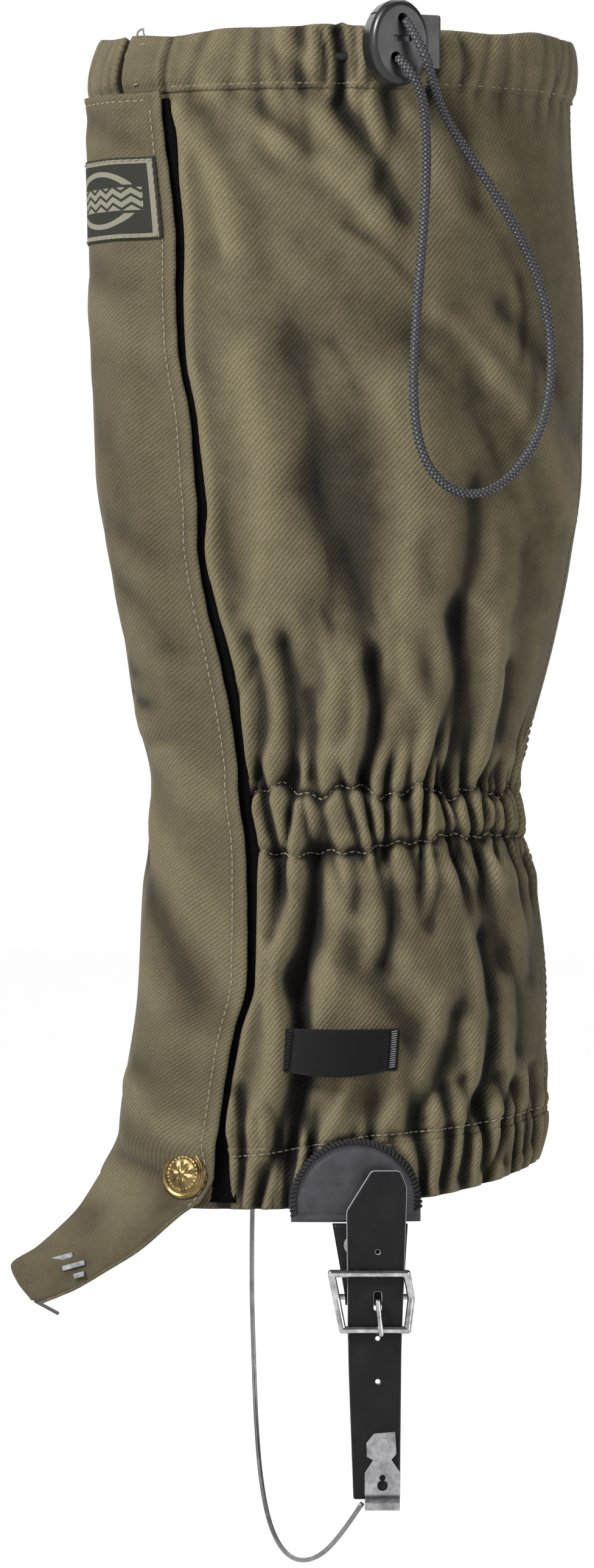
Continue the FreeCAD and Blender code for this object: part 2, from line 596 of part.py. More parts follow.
def make_buckle():
    """Bent-wire frame with a set-back centre bar, and the prong that turns on that bar."""
    front = STRAP_BACK - STRAP_THICK - BUCKLE_WIRE - 0.5
    side = front + 1.8
    corners = ((-3.4, front, -21.9), (23.8, front, -21.9), (BUCKLE_BACK, side, BAR_HEIGHT),
               (24.0, front, -42.2), (0.6, front, -42.2), (BUCKLE_FRONT, side, BAR_HEIGHT))
    bars = []
    for start, end in zip(corners, corners[1:] + corners[:1]):
        bars.append(rod(start, end, BUCKLE_WIRE))
        bars.append(Part.makeSphere(BUCKLE_WIRE, Vector(*end)))
    ends = []
    for x in (BUCKLE_FRONT, BUCKLE_BACK):
        ends.append(rod((x, side, BAR_HEIGHT), (x, BAR_DEPTH, BAR_HEIGHT), BUCKLE_WIRE))
        ends.append(Part.makeSphere(BUCKLE_WIRE, Vector(x, BAR_DEPTH, BAR_HEIGHT)))
    bar = rod((BUCKLE_FRONT, BAR_DEPTH, BAR_HEIGHT), (BUCKLE_BACK, BAR_DEPTH, BAR_HEIGHT), CENTRE_BAR)
    save("buckle_frame", bars[0].fuse(bars[1:] + ends + [bar]).removeSplitter())
    eye = rod((PRONG_X - 1.1, BAR_DEPTH, BAR_HEIGHT), (PRONG_X + 1.1, BAR_DEPTH, BAR_HEIGHT), 2.4)
    eye = eye.cut(rod((PRONG_X - 3, BAR_DEPTH, BAR_HEIGHT), (PRONG_X + 3, BAR_DEPTH, BAR_HEIGHT), 1.17))
    knee = (PRONG_X, front - 1.2, BAR_HEIGHT - 1.0)
    point = (PRONG_X + 1.2, front - BUCKLE_WIRE - 1.35, -43.6)
    stem = rod((PRONG_X, BAR_DEPTH - 1.7, BAR_HEIGHT), knee, 0.9)
    blade = rod(knee, point, 0.9)
    prong = eye.fuse([stem, Part.makeSphere(0.9, Vector(*knee)), blade, Part.makeSphere(0.9, Vector(*point))])
    save("buckle_prong", prong.removeSplitter())


def make_clip():
    """Sheet-steel end clip: tab, neck, shoulders with a keyhole, and a rolled eye for the wire."""
    back = STRAP_BACK - STRAP_THICK - 0.02
    outline = ((9.4, -88.0), (9.2, -83.0), (12.0, -79.6), (19.6, -79.0), (20.0, -87.0), (18.2, -89.0),
               (21.2, -93.4), (21.2, -101.4), (8.6, -101.4), (8.6, -93.8), (11.6, -89.2))
    sheet = plate(outline, back - 1.0, back)
    keyhole = rod((CLIP_X, -70, -98.4), (CLIP_X, -50, -98.4), 1.9)
    keyhole = keyhole.fuse(rod((CLIP_X, -70, -95.6), (CLIP_X, -50, -95.6), 1.1))
    eye_y = WIRE_ROUTE[-1][1]
    eye_z = WIRE_ROUTE[-1][2]
    eye = rod((8.6, eye_y, eye_z), (21.2, eye_y, eye_z), 2.6)
    sheet = sheet.fuse(block(8.6, 21.2, back - 1.0, back, eye_z, -101.0))
    bore = rod((8.0, eye_y, eye_z), (22.0, eye_y, eye_z), 1.2)
    below = block(0, 30, back, back + 9, -120, -80)
    clip = sheet.fuse(eye).cut(bore).cut(keyhole).cut(below)
    hole = rod((CLIP_X, -70, CLIP_RIVET_Z), (CLIP_X, -40, CLIP_RIVET_Z), 1.25)
    save("end_clip", clip.removeSplitter().cut(hole))
    stem = rod((CLIP_X, back - 1.0, CLIP_RIVET_Z), (CLIP_X, STRAP_BACK, CLIP_RIVET_Z), 1.2)
    head = rod((CLIP_X, back - 1.7, CLIP_RIVET_Z), (CLIP_X, back - 1.0, CLIP_RIVET_Z), 2.4)
    tail = rod((CLIP_X, STRAP_BACK, CLIP_RIVET_Z), (CLIP_X, STRAP_BACK + 0.6, CLIP_RIVET_Z), 2.2)
    save("clip_rivet", stem.fuse([head, tail]).removeSplitter())


def make_keeper():
    """Webbing loop above the patch that holds a boot lace or the strap's end."""
    def bow(height, angle, offset):
        share = (angle - KEEPER_START) / (KEEPER_END - KEEPER_START)
        lift = 7.0 * math.sin(math.pi * share) ** 0.7
        return leg_point(height, angle, offset + lift)
    band = skin(bow, 50.0, 66.0, KEEPER_START, KEEPER_END, 0.1, 1.5, (), 15)
    save("webbing_keeper", band)
    tacks = []
    for angle in (KEEPER_START - 3.0, KEEPER_END):
        tacks.append(leg_skin(50.0, 66.0, angle, angle + 3.0, 0.05, 1.4, 5))
    save("keeper_tacks", Part.makeCompound(tacks))


make_panels()
make_top_hem()
make_lower_hem()
make_ankle()
make_zip()
make_flap()
make_snap()
make_lace_hook()
make_cord_lock()
make_patches()
make_straps()
make_buckle()
make_clip()
make_keeper()
save("drawcord_loop", tube(LOOP_ROUTE, DRAWCORD_DIA, "drawcord loop"))
save("foot_wire", tube(WIRE_ROUTE, WIRE_DIA, "foot wire"))
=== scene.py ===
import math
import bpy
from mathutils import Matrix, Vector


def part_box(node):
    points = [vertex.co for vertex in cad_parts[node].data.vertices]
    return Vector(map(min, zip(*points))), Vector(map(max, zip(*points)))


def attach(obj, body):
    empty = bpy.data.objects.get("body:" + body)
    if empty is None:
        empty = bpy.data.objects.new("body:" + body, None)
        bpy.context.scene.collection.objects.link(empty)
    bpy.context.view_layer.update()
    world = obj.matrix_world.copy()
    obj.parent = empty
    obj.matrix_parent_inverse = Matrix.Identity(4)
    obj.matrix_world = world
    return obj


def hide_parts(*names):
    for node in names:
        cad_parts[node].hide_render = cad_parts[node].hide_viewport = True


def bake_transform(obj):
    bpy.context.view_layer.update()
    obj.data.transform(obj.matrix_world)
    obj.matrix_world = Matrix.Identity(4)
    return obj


bl_info = {
    "name": "Field gaiter",
    "version": (1, 0, 0),
    "blender": (4, 5, 0),
    "location": "View3D > Sidebar > Gaiter",
    "description": "Dresses the gaiter's packed frame in cloth, leather and metal",
    "category": "Add Mesh",
}

import bpy
import numpy as np
from mathutils import Vector

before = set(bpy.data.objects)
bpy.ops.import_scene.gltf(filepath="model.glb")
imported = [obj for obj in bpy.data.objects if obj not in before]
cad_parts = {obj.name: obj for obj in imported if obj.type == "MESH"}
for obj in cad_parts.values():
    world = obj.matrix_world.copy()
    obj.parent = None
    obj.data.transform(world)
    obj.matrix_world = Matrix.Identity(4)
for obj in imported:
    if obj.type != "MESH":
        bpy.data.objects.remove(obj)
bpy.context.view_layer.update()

MM = 0.001

# The leg's outline by height, in millimetres: height, front, back, half depth, rise of the back.
# The hem runs level along the front and turns up towards the heel.
PROFILE = (
    (0.0, -80.0, 72.0, 47.0, 15.0),
    (22.0, -80.0, 75.0, 49.5, 10.5),
    (77.0, -73.0, 75.5, 50.0, 0.0),
    (117.0, -71.0, 71.5, 46.0, 0.0),
    (131.0, -69.0, 68.0, 44.0, 0.0),
    (155.0, -68.0, 65.0, 43.5, 0.0),
    (182.0, -74.0, 72.0, 47.0, 0.0),
    (209.0, -78.0, 79.0, 50.0, 0.0),
    (236.0, -83.0, 84.5, 53.0, 0.0),
    (270.0, -88.5, 88.5, 55.5, 0.0),
    (406.0, -91.5, 84.5, 57.0, 0.0),
    (427.0, -88.0, 85.0, 57.0, 0.0),
)

# The flap's free edge: height, angle round from the front.
FLAP_EDGE = (
    (22.0, 58.0), (64.0, 59.2), (83.0, 62.4), (112.0, 62.2), (133.0, 61.0), (155.0, 58.6), (176.0, 58.6),
    (197.0, 56.2), (218.0, 53.2), (237.0, 52.3), (257.0, 54.0), (285.0, 53.2), (310.0, 50.2), (330.0, 49.8),
    (352.0, 50.5), (372.0, 49.4), (390.0, 47.6), (406.0, 46.6),
)

# The tongue by height: height, front point, bulge, back point.
TONGUE = (
    (-35.0, -112.5, -17.0, -111.0, -18.6, -109.0, -20.0),
    (-28.6, -118.0, -13.5, -104.0, -22.0, -94.0, -26.0),
    (-22.5, -120.5, -13.0, -97.0, -25.5, -84.0, -30.5),
    (-15.4, -110.5, -13.0, -88.0, -30.0, -73.0, -35.0),
    (-2.2, -96.4, -13.0, -71.0, -38.0, -58.0, -40.8),
    (3.0, -92.5, -13.0, -65.0, -41.5, -51.0, -43.4),
    (11.0, -87.0, -13.0, -60.5, -42.0, -46.0, -44.4),
)

# How far the dark strip shows past the flap's free edge: height, degrees round the leg.
STRIP_SHOWS = (
    (0.0, 4.6), (5.0, 4.2), (19.0, 2.6), (30.0, 0.4), (38.0, 0.2), (64.0, 0.6), (83.0, 0.8), (112.0, 1.6),
    (133.0, 2.7), (155.0, 1.7), (176.0, 1.2), (197.0, 1.7), (218.0, 1.2), (237.0, 0.2), (257.0, 0.8),
    (285.0, 0.1), (310.0, 0.1), (330.0, 0.2), (352.0, 0.3), (372.0, 0.6), (390.0, 1.9),
    (401.0, 0.4), (406.0, 0.0),
)

# Folds on the outer side: from (x, z) to (x, z), depth (a ridge if negative) and width.
OUTER_FOLDS = (
    # pinches in the top hem and the folds that fan out below it
    (-7.5, 424, -6.5, 409, 2.6, 1.7), (-0.8, 424, -0.6, 402, 3.4, 2.2), (-20, 420, -5, 404, -1.3, 3.2),
    (10, 424, 9, 404, 1.8, 1.8), (33, 422, 32, 404, 2.0, 1.8), (44, 422, 44, 408, 1.4, 1.8),
    (-46, 404, -20, 384, -1.7, 4.2), (-20, 384, 12, 358, -1.7, 4.8), (-38, 401, -14, 382, 2.0, 4.5),
    (-6, 403, 22, 361, 2.8, 4.6), (6, 402, 15, 382, -1.7, 5.0), (-58, 396, -40, 348, -1.1, 4.2),
    (-50, 396, -28, 340, 1.2, 6.5), (17, 402, 14, 370, 1.6, 4.0), (37, 402, 50, 366, 2.0, 5.5),
    (60, 400, 70, 350, 1.2, 8.0), (28, 398, 34, 372, -1.2, 5.0), (-26, 360, 6, 330, 0.9, 8.0),
    # the calf
    (-17, 308, -9, 262, 3.4, 13.0), (-9, 262, -4, 222, 3.4, 11.0), (-6, 312, 20, 316, 1.2, 11.0),
    (3, 276, 7, 236, 1.6, 12.0),
    (-35, 306, -31, 214, -1.7, 8.0), (20, 292, 23, 220, -2.2, 9.0), (49, 258, 43, 215, 3.4, 6.5),
    (43, 215, 38.5, 157, 5.6, 4.8), (36, 324, 56, 302, -1.3, 4.2), (56, 302, 84, 254, -1.9, 5.0),
    (30, 308, 62, 262, 2.2, 10.0), (60, 326, 88, 282, 1.8, 5.0), (2, 236, 10, 196, 2.4, 6.0),
    (12, 198, 8.5, 157, 6.4, 3.8), (-21, 204, -19, 157, 4.8, 4.0), (-4, 200, -5, 158, -1.6, 5.0),
    (26, 196, 25, 158, -1.7, 6.0), (57, 208, 52, 165, -1.7, 6.0), (-33, 206, -30, 158, 2.2, 3.6),
    (62, 196, 55, 157, 3.4, 3.6), (70, 240, 62, 176, 1.8, 6.0), (-44, 250, -40, 190, 1.2, 6.0),
    (30, 236, 31, 196, 1.0, 5.0), (72, 214, 60, 166, -1.2, 4.0), (-12, 186, -11, 158, 1.8, 2.6),
    # below the ankle
    (-9, 129, -17, 84, 8.4, 4.6), (-17, 84, -19.5, 20, 8.4, 4.6), (-28, 122, -31, 30, -1.8, 6.0),
    (-5, 114, -8, 70, -1.8, 5.0), (17, 130, 16, 90, 3.8, 3.6), (-4, 114, 38, 66, -2.0, 7.0),
    (0, 92, 24, 66, 1.4, 7.0), (44, 129, 60, 90, 2.8, 4.4), (57, 122, 66, 86, -1.3, 5.0),
    (53, 98, 51, 32, 5.6, 3.4), (62, 92, 66, 56, 2.8, 4.0), (42, 70, 26, 30, 3.8, 4.4),
    (68, 124, 71, 84, 1.8, 4.0), (34, 128, 33, 104, 2.2, 3.0), (-24, 128, -25, 100, 1.6, 3.0),
    (57, 70, 60, 30, -1.6, 4.0), (46, 66, 44, 30, -1.8, 4.0), (4, 128, 5, 110, 1.8, 2.6),
    # gathers in the lower hem
    (-37, 42, -38, 2, 2.8, 2.6), (-30, 32, -31, 1, 2.2, 2.2), (-25, 36, -25, 1, 2.6, 2.2),
    (-13, 32, -13, 3, 2.2, 2.4), (38, 42, 37, 6, 3.0, 2.6), (45, 44, 44, 6, 3.4, 2.6),
    (51, 36, 52, 8, 3.0, 2.4),
    (58, 44, 60, 8, 3.4, 2.6), (65, 40, 66, 10, 2.8, 2.4), (31, 30, 30, 4, 2.4, 2.4),
    (70, 46, 71, 12, 2.4, 2.6),
)

# Creases on the flap, in the same form.
FLAP_FOLDS = (
    (-70, 190, -56, 184, 1.3, 3.0), (-70, 214, -58, 196, 1.2, 3.0), (-66, 178, -44, 150, -0.9, 5.0),
    (-64, 256, -46, 238, 0.7, 5.0), (-66, 330, -44, 316, -0.6, 7.0), (-70, 153, -38, 80, -1.2, 5.0),
    (-66, 128, -44, 70, 0.9, 6.0), (-60, 84, -42, 60, -0.6, 6.0), (-70, 52, -44, 28, -1.0, 5.0),
    (-62, 56, -48, 38, 0.9, 4.0), (-66, 164, -54, 170, 0.9, 3.0), (-62, 18, -46, 2, 0.8, 4.0),
    (-60, 292, -52, 262, 0.6, 5.0), (-68, 348, -50, 336, 0.6, 4.0), (-56, 228, -46, 204, 0.8, 4.0),
    (-70, 10, -54, -12, -0.7, 5.0), (-64, -4, -50, -22, 0.7, 4.0), (-60, 398, -44, 388, 0.6, 4.0),
)

# The hanging loop of drawcord and the wire under the foot, as in the design, in millimetres.
LOOP_ROUTE = (
    (20.4, -74.0, 414.0), (24.4, -77.4, 409.4), (28.6, -74.4, 402.4), (30.4, -69.0, 392.0),
    (30.9, -63.6, 377.0), (30.0, -61.2, 357.0), (27.8, -61.6, 332.0), (26.1, -62.0, 307.0),
    (26.2, -62.0, 286.0), (29.8, -61.4, 270.5), (38.0, -59.6, 260.6), (48.5, -56.4, 258.2),
    (58.6, -52.0, 262.6), (67.4, -46.4, 272.4), (74.0, -41.0, 286.2), (76.8, -38.6, 303.0),
    (76.2, -39.2, 321.0), (71.6, -43.2, 338.6), (63.6, -49.0, 355.0), (53.4, -54.6, 371.0),
    (43.0, -59.6, 385.4), (35.6, -66.4, 397.0), (32.6, -73.6, 407.0), (29.2, -78.0, 417.0),
    (23.2, -73.2, 427.6),
)
WIRE_ROUTE = (
    (-32.6, 48.5, -3.0), (-33.1, 48.8, -30.0), (-32.3, 47.0, -58.0), (-31.4, 39.5, -83.0),
    (-29.4, 23.5, -106.5), (-25.4, 2.0, -122.4), (-18.6, -21.0, -129.6), (-9.6, -40.0, -127.6),
    (-0.6, -52.6, -118.0), (7.6, -58.4, -104.6),
)

TOP_SEAM = 406.0
TOP_EDGE = 427.0
LOW_SEAM = 22.0
ANKLE_LOW = 131.0
ANKLE_HIGH = 155.0
ZIP_ANGLE = 30.0
ZIP_BACK_EDGE = 37.3           # where the outer panel meets the zip tape
ZIP_FRONT_EDGE = 382.7         # where the inner panel meets it, counted all the way round
FLAP_ROOT = 2.0
FLAP_THICK = 1.2
CLOTH_THICK = 1.1
BACK_SEAM = 180.0              # the angle where the two panels meet
FLAP_OUTWARDS = (-0.5, -0.8, 0.0)
FLAP_EDGE_STITCH = 0.925       # place of the topstitching across the flap
FLAP_TOP_STITCH = 402.6
LABEL_SIZE = (31.0, 30.0)
LABEL_LIFT = FLAP_THICK + 0.62
PATCH_RADIUS = 23.5
PATCH_MIDDLE = 2.5             # height of the centre of the patches' arc
OUTER_PATCH_X = 5.5
INNER_PATCH_X = -29.6
KEEPER_START = 77.0
KEEPER_END = 103.0
KEEPER_LOW = 50.0
KEEPER_HIGH = 66.0
SNAP_RADIUS = 9.2
FLOOR_LEVEL = -160.0
FLOOR_HALF = 9000.0


# ---- settings shown in the sidebar -----------------------------------------------------------
class GaiterSizes(bpy.types.PropertyGroup):
    cell: bpy.props.FloatProperty(
        name="Cloth cell", description="Spacing of the cloth's mesh, in millimetres", default=1.25, min=0.6)
    stitch_pitch: bpy.props.FloatProperty(
        name="Stitch pitch", description="One stitch to the next, in millimetres", default=2.9, min=1.0)
    stitch_radius: bpy.props.FloatProperty(
        name="Thread radius", description="Sewing thread, in millimetres", default=0.32, min=0.1)


class GaiterColours(bpy.types.PropertyGroup):
    cloth: bpy.props.FloatVectorProperty(
        name="Cloth", description="Twill on its lit faces", subtype="COLOR", size=3,
        default=(0.126, 0.1065, 0.0605))
    # painted shade: the twill's colour in its shaded creases, blended towards the lit colour on ridges
    cloth_in_painted_shade: bpy.props.FloatVectorProperty(
        name="Cloth in folds", description="Twill in its creases", subtype="COLOR", size=3,
        default=(0.029, 0.0235, 0.0125))
    thread: bpy.props.FloatVectorProperty(
        name="Thread", description="Topstitching", subtype="COLOR", size=3, default=(0.22, 0.195, 0.135))
    leather: bpy.props.FloatVectorProperty(
        name="Leather", description="Straps and patches", subtype="COLOR", size=3,
        default=(0.0028, 0.0028, 0.0033))
    brass: bpy.props.FloatVectorProperty(
        name="Brass", description="Snap and eyelets", subtype="COLOR", size=3, default=(0.21, 0.148, 0.062))


# ---- curves through tables ---------------------------------------------------------------------
def smooth_table(table, x):
    """Every column of the table at x, on a cubic that never overshoots its rows."""
    rows = np.array(table, float)
    knots = rows[:, 0]
    x = np.clip(np.asarray(x, float), knots[0], knots[-1])
    step = np.diff(knots)
    columns = []
    for column in rows[:, 1:].T:
        rate = np.diff(column) / step
        slope = np.zeros(len(knots))
        same = rate[:-1] * rate[1:] > 0
        slope[1:-1][same] = 2.0 * rate[:-1][same] * rate[1:][same] / (rate[:-1] + rate[1:])[same]
        slope[0] = rate[0]
        slope[-1] = rate[-1]
        i = np.clip(np.searchsorted(knots, x, side="right") - 1, 0, len(knots) - 2)
        h = step[i]
        t = (x - knots[i]) / h
        columns.append((1 + 2 * t) * (1 - t) ** 2 * column[i] + t * (1 - t) ** 2 * h * slope[i]
                       + t * t * (3 - 2 * t) * column[i + 1] + t * t * (t - 1) * h * slope[i + 1])
    return columns


def ease(low, high, x):
    """0 below low, 1 above high, smooth between."""
    t = np.clip((np.asarray(x, float) - low) / (high - low), 0.0, 1.0)
    return t * t * (3.0 - 2.0 * t)


def bump_at(x, centre, width):
    """A round bump of height 1."""
    return np.exp(-((np.asarray(x, float) - centre) / width) ** 2)


# ---- the leg's surface, in millimetres ------------------------------------------------------------
def leg_point(height, angle, offset=0.0):
    """Points on the leg's outer surface, moved outwards by offset."""
    height, angle, offset = np.broadcast_arrays(*(np.asarray(v, float) for v in (height, angle, offset)))
    front, back, depth, rise = smooth_table(PROFILE, height)
    back = back + 2.4 * bump_at(height, 330.0, 42.0)
    centre = (front + back) / 2.0
    width = (back - front) / 2.0
    turn = np.radians(angle)
    nx = -np.cos(turn) / width
    ny = -np.sin(turn) / depth
    size = np.hypot(nx, ny)
    x = centre - width * np.cos(turn) + offset * nx / size
    y = -depth * np.sin(turn) + offset * ny / size
    z = height + rise * ((x - front) / (back - front)) ** 4
    return np.stack([x, y, z], axis=-1)


class Pleats:
    """Irregular creases that run up and down from a gathered band."""

    def __init__(self, seed, count, low, high, up, down, depth, width):
        dice = np.random.default_rng(seed)
        self.low = low
        self.high = high
        base = (np.arange(count) + dice.uniform(-0.34, 0.34, count)) * 360.0 / count
        self.angle = base
        self.lean = dice.uniform(-0.20, 0.20, count)
        self.up = up[0] + (up[1] - up[0]) * dice.random(count) ** 2
        self.down = down[0] + (down[1] - down[0]) * dice.random(count) ** 2
        self.depth = depth * dice.uniform(0.35, 1.25, count)
        self.width = width * dice.uniform(0.75, 1.35, count)

    def at(self, height, angle):
        """Displacement in millimetres."""
        total = np.zeros(np.broadcast(height, angle).shape)
        middle = (self.low + self.high) / 2.0
        above = np.maximum(height - self.high, 0.0)
        below = np.maximum(self.low - height, 0.0)
        for spot, lean, up, down, depth, width in zip(
                self.angle, self.lean, self.up, self.down, self.depth, self.width):
            away = (angle - spot - lean * (height - middle) + 180.0) % 360.0 - 180.0
            reach = np.exp(-(above / up) ** 2 - (below / down) ** 2)
            wide = width * (1.0 + 0.05 * (above + below))
            total -= depth * reach * np.exp(-np.abs(away * 1.15 / wide) ** 1.5)
            total += 0.42 * depth * reach * np.exp(-((away * 1.15 - 1.9 * wide) / (1.3 * wide)) ** 2)
        return total


ANKLE_PLEATS = Pleats(11, 58, ANKLE_LOW, ANKLE_HIGH, (6.0, 26.0), (6.0, 30.0), 4.2, 1.5)
HEM_PLEATS = Pleats(23, 50, -2.0, 24.0, (8.0, 30.0), (20.0, 20.0), 4.2, 1.7)
TOP_PLEATS = Pleats(37, 56, 404.0, 430.0, (9.0, 9.0), (7.0, 34.0), 1.5, 1.7)


def inner_folds():
    """Folds for the side away from the eye, dealt from one seed."""
    dice = np.random.default_rng(5)
    folds = []
    for zone_low, zone_high, count, depth in ((165, 390, 22, 1.9), (26, 126, 18, 2.4)):
        for _ in range(count):
            x = dice.uniform(-62, 62)
            z = dice.uniform(zone_low, zone_high)
            length = dice.uniform(25, 60)
            folds.append((x, min(z + length, zone_high), x + dice.uniform(-12, 12), z,
                          depth * dice.uniform(-0.8, 1.0), dice.uniform(6, 13)))
    return folds


def small_creases():
    """Short shallow creases all over the outer side."""
    dice = np.random.default_rng(17)
    creases = []
    for _ in range(70):
        x = dice.uniform(-56, 78)
        z = dice.choice((dice.uniform(160, 400), dice.uniform(26, 128), dice.uniform(158, 230)))
        slant = dice.uniform(-0.6, 0.6) if z < 300 else dice.uniform(-1.2, 0.4)
        length = dice.uniform(9, 30)
        creases.append((x, z + length, x - slant * length, z,
                        dice.uniform(-0.7, 0.8), dice.uniform(1.8, 4.0)))
    return creases


INNER_FOLDS = inner_folds()
SMALL_CREASES = small_creases()


def fold_field(x, z, folds):
    """Sum of long soft folds, each along its own line."""
    total = np.zeros_like(x)
    for x0, z0, x1, z1, depth, width in folds:
        length = math.hypot(x1 - x0, z1 - z0)
        ux = (x1 - x0) / length
        uz = (z1 - z0) / length
        along = (x - x0) * ux + (z - z0) * uz
        bend = 0.07 * length * np.sin(np.clip(along / length, 0, 1) * math.pi)
        across = (x - x0) * uz - (z - z0) * ux + bend
        beyond = np.maximum(-along, 0.0) + np.maximum(along - length, 0.0)
        fade = np.exp(-(beyond / (1.5 * width)) ** 2)
        total -= depth * fade * np.exp(-np.abs(across / width) ** (1.35 if depth > 2.0 else 1.9))
        total += 0.3 * depth * fade * np.exp(-((across - 1.7 * width) / width) ** 2)
    return total


def flap_edge_angle(height):
    return smooth_table(FLAP_EDGE, height)[0]


def strip_shows(height):
    return smooth_table(STRIP_SHOWS, height)[0]


def ankle_low_level(angle):
    """The lower gathered seam rises towards the back."""
    back = ease(82.0, 132.0, angle) * ease(278.0, 228.0, angle)
    return ANKLE_LOW - 2.0 + 6.5 * back + 0.8 * np.sin(angle * 0.31) + 0.7 * np.sin(angle * 0.87 + 1.0)


def ankle_high_level(angle):
    """The upper gathered seam wanders as it goes round."""
    return ANKLE_HIGH - 3.2 + 2.2 * np.sin(angle * 0.27 + 1.1) + 1.3 * np.sin(angle * 0.71 + 0.4)


def hem_seam_level(angle):
    """The lower hem is sewn higher towards the heel."""
    return LOW_SEAM - 2.6 + 6.6 * ease(62.0, 104.0, angle) * ease(298.0, 256.0, angle)


def smoothed(field, reach):
    """The same grid of values, averaged over about this many cells each way."""
    weights = np.exp(-(np.arange(-3 * reach, 3 * reach + 1) / reach) ** 2)
    weights /= weights.sum()
    for axis in (0, 1):
        pad = [(0, 0), (0, 0)]
        pad[axis] = (3 * reach, 3 * reach)
        wide = np.pad(field, pad, mode="edge")
        field = np.apply_along_axis(lambda row: np.convolve(row, weights, mode="valid"), axis, wide)
    return field


def shadow_of(field, height):
    """How sunken each point is next to its surroundings, for painted shade: below zero in creases, and
    lowered further as painted shade below the ankle and in its gather.
    """
    # painted shade: the cloth is darkened below the ankle and most in the ankle's gather
    low_painted_shade = 0.8 * ease(168.0, 140.0, height) + 0.7 * bump_at(height, 143.0, 16.0)
    return 0.42 * field + 1.9 * (field - smoothed(field, 4)) - low_painted_shade


def displace(height, angle):
    """How far the cloth stands off its plain shape, in millimetres."""
    height, angle = np.broadcast_arrays(np.asarray(height, float), np.asarray(angle, float))
    flat = leg_point(height, angle)
    x = flat[..., 0]
    facing = np.sin(np.radians(angle))
    outer = ease(-0.02, 0.22, facing)
    inner = ease(-0.02, 0.22, -facing)
    field = outer * (fold_field(x, height, OUTER_FOLDS) + fold_field(x, height, SMALL_CREASES))
    field += inner * fold_field(x, height, INNER_FOLDS)
    field += ANKLE_PLEATS.at(height, angle) + HEM_PLEATS.at(height, angle)
    lock = 0.45 + 1.1 * bump_at(x, 2.0, 30.0) * ease(0.0, 0.5, facing)
    field += TOP_PLEATS.at(height, angle) * lock
    low = ankle_low_level(angle)
    high = ankle_high_level(angle)
    field += 1.9 * ease(low - 1.0, low + 6.0, height) * ease(high + 1.0, high - 6.0, height)
    for line in (low, high):
        field -= 1.9 * bump_at(height - line, 0.0, 1.7)
    field -= 0.9 * bump_at(height - hem_seam_level(angle), 0.0, 1.3)
    field += 1.5 * (bump_at(height, ANKLE_HIGH + 9.0, 6.0) + bump_at(height, ANKLE_LOW - 9.0, 6.0))
    field += 0.9 * ease(LOW_SEAM, LOW_SEAM + 26.0, height) * ease(ANKLE_LOW - 2.0, ANKLE_LOW - 30.0, height)
    field += 1.2 * bump_at(height, LOW_SEAM + 8.0, 6.0)
    field += 0.35 * np.sin(angle * 0.13 + height * 0.031) * np.sin(angle * 0.11 - height * 0.052 + 1.0)
    for centre, side in ((OUTER_PATCH_X, 1.0), (INNER_PATCH_X, -1.0)):
        reach = np.hypot(x - centre, np.maximum(height - PATCH_MIDDLE, 0.0)) / PATCH_RADIUS
        covered = ease(1.06, 0.94, reach) * ease(0.0, 0.1, side * facing)
        field = field + (np.minimum(field, -1.0) - field) * covered
    seam = bump_at(angle, BACK_SEAM, 3.2)
    field = field * (1.0 - 0.6 * seam) + 0.7 * seam
    past = angle - flap_edge_angle(height)
    edge = strip_shows(height)
    clear_front = ease(360.0, 346.0, angle)
    free = ease(0.3, 2.4, past - edge) * clear_front
    under = np.maximum(np.minimum(field, 0.0), -1.0)
    dip = -1.5 * bump_at(past, edge * 0.4, edge * 0.5 + 1.2) * ease(-4.0, -1.0, past)
    lip = 1.5 * bump_at(past, edge + 2.3, 1.9) * ease(404.0, 396.0, height)
    return np.clip(field, -9.0, 4.0) * free + under * (1.0 - free) * ease(-8.0, 0.0, past) + dip + lip


def cloth_point(height, angle, offset=0.0):
    """A point on the creased cloth."""
    return leg_point(height, angle, displace(height, angle) + offset)


# ---- the flap's surface ----------------------------------------------------------------------------
def flap_gap(share, height):
    """How far the flap's inner face stands off the leg."""
    lift = 0.6 + 5.2 * ease(0.10, 0.40, share)
    rest = 2.25 + 1.9 * ease(32.0, 24.0, height)
    return lift + (rest - 5.8) * ease(0.64, 0.84, share)


def tongue_point(height, share):
    """The lower end of the flap, which leaves the leg and runs forward."""
    x0, y0, x1, y1, x2, y2 = smooth_table(TONGUE, np.minimum(height, 11.0))
    a = (1.0 - share) ** 2
    b = 2.0 * share * (1.0 - share)
    c = share ** 2
    return a * x0 + b * x1 + c * x2, a * y0 + b * y1 + c * y2


def flap_point(height, share, offset=0.0):
    """Points on the flap's inner face, moved outwards by offset."""
    height, share, offset = np.broadcast_arrays(*(np.asarray(v, float) for v in (height, share, offset)))
    wave = 0.22 * np.sin(height * 0.52 + 3.0 * share) * ease(0.86, 1.0, share)
    wave = wave + 0.45 * np.sin(height * 0.043 + 1.3) * np.sin(share * 6.0 + height * 0.017)
    creases = fold_field(-70.0 + 34.0 * share, height, FLAP_FOLDS)
    high = np.maximum(height, 22.0)
    angle = FLAP_ROOT + (flap_edge_angle(high) - FLAP_ROOT) * share
    leg = leg_point(high, angle, flap_gap(share, high) + offset + (wave + creases) * ease(0.04, 0.2, share))
    tx, ty = tongue_point(height, share)
    step = 0.01
    bx, by = tongue_point(height, share + step)
    dx = bx - tx
    dy = by - ty
    size = np.hypot(dx, dy)
    stand = offset + 0.8 * creases
    tx = tx + dy / size * stand
    ty = ty - dx / size * stand
    mix = ease(10.0, 27.0, height)
    x = tx + (leg[..., 0] - tx) * mix
    y = ty + (leg[..., 1] - ty) * mix
    return np.stack([x, y, height], axis=-1)


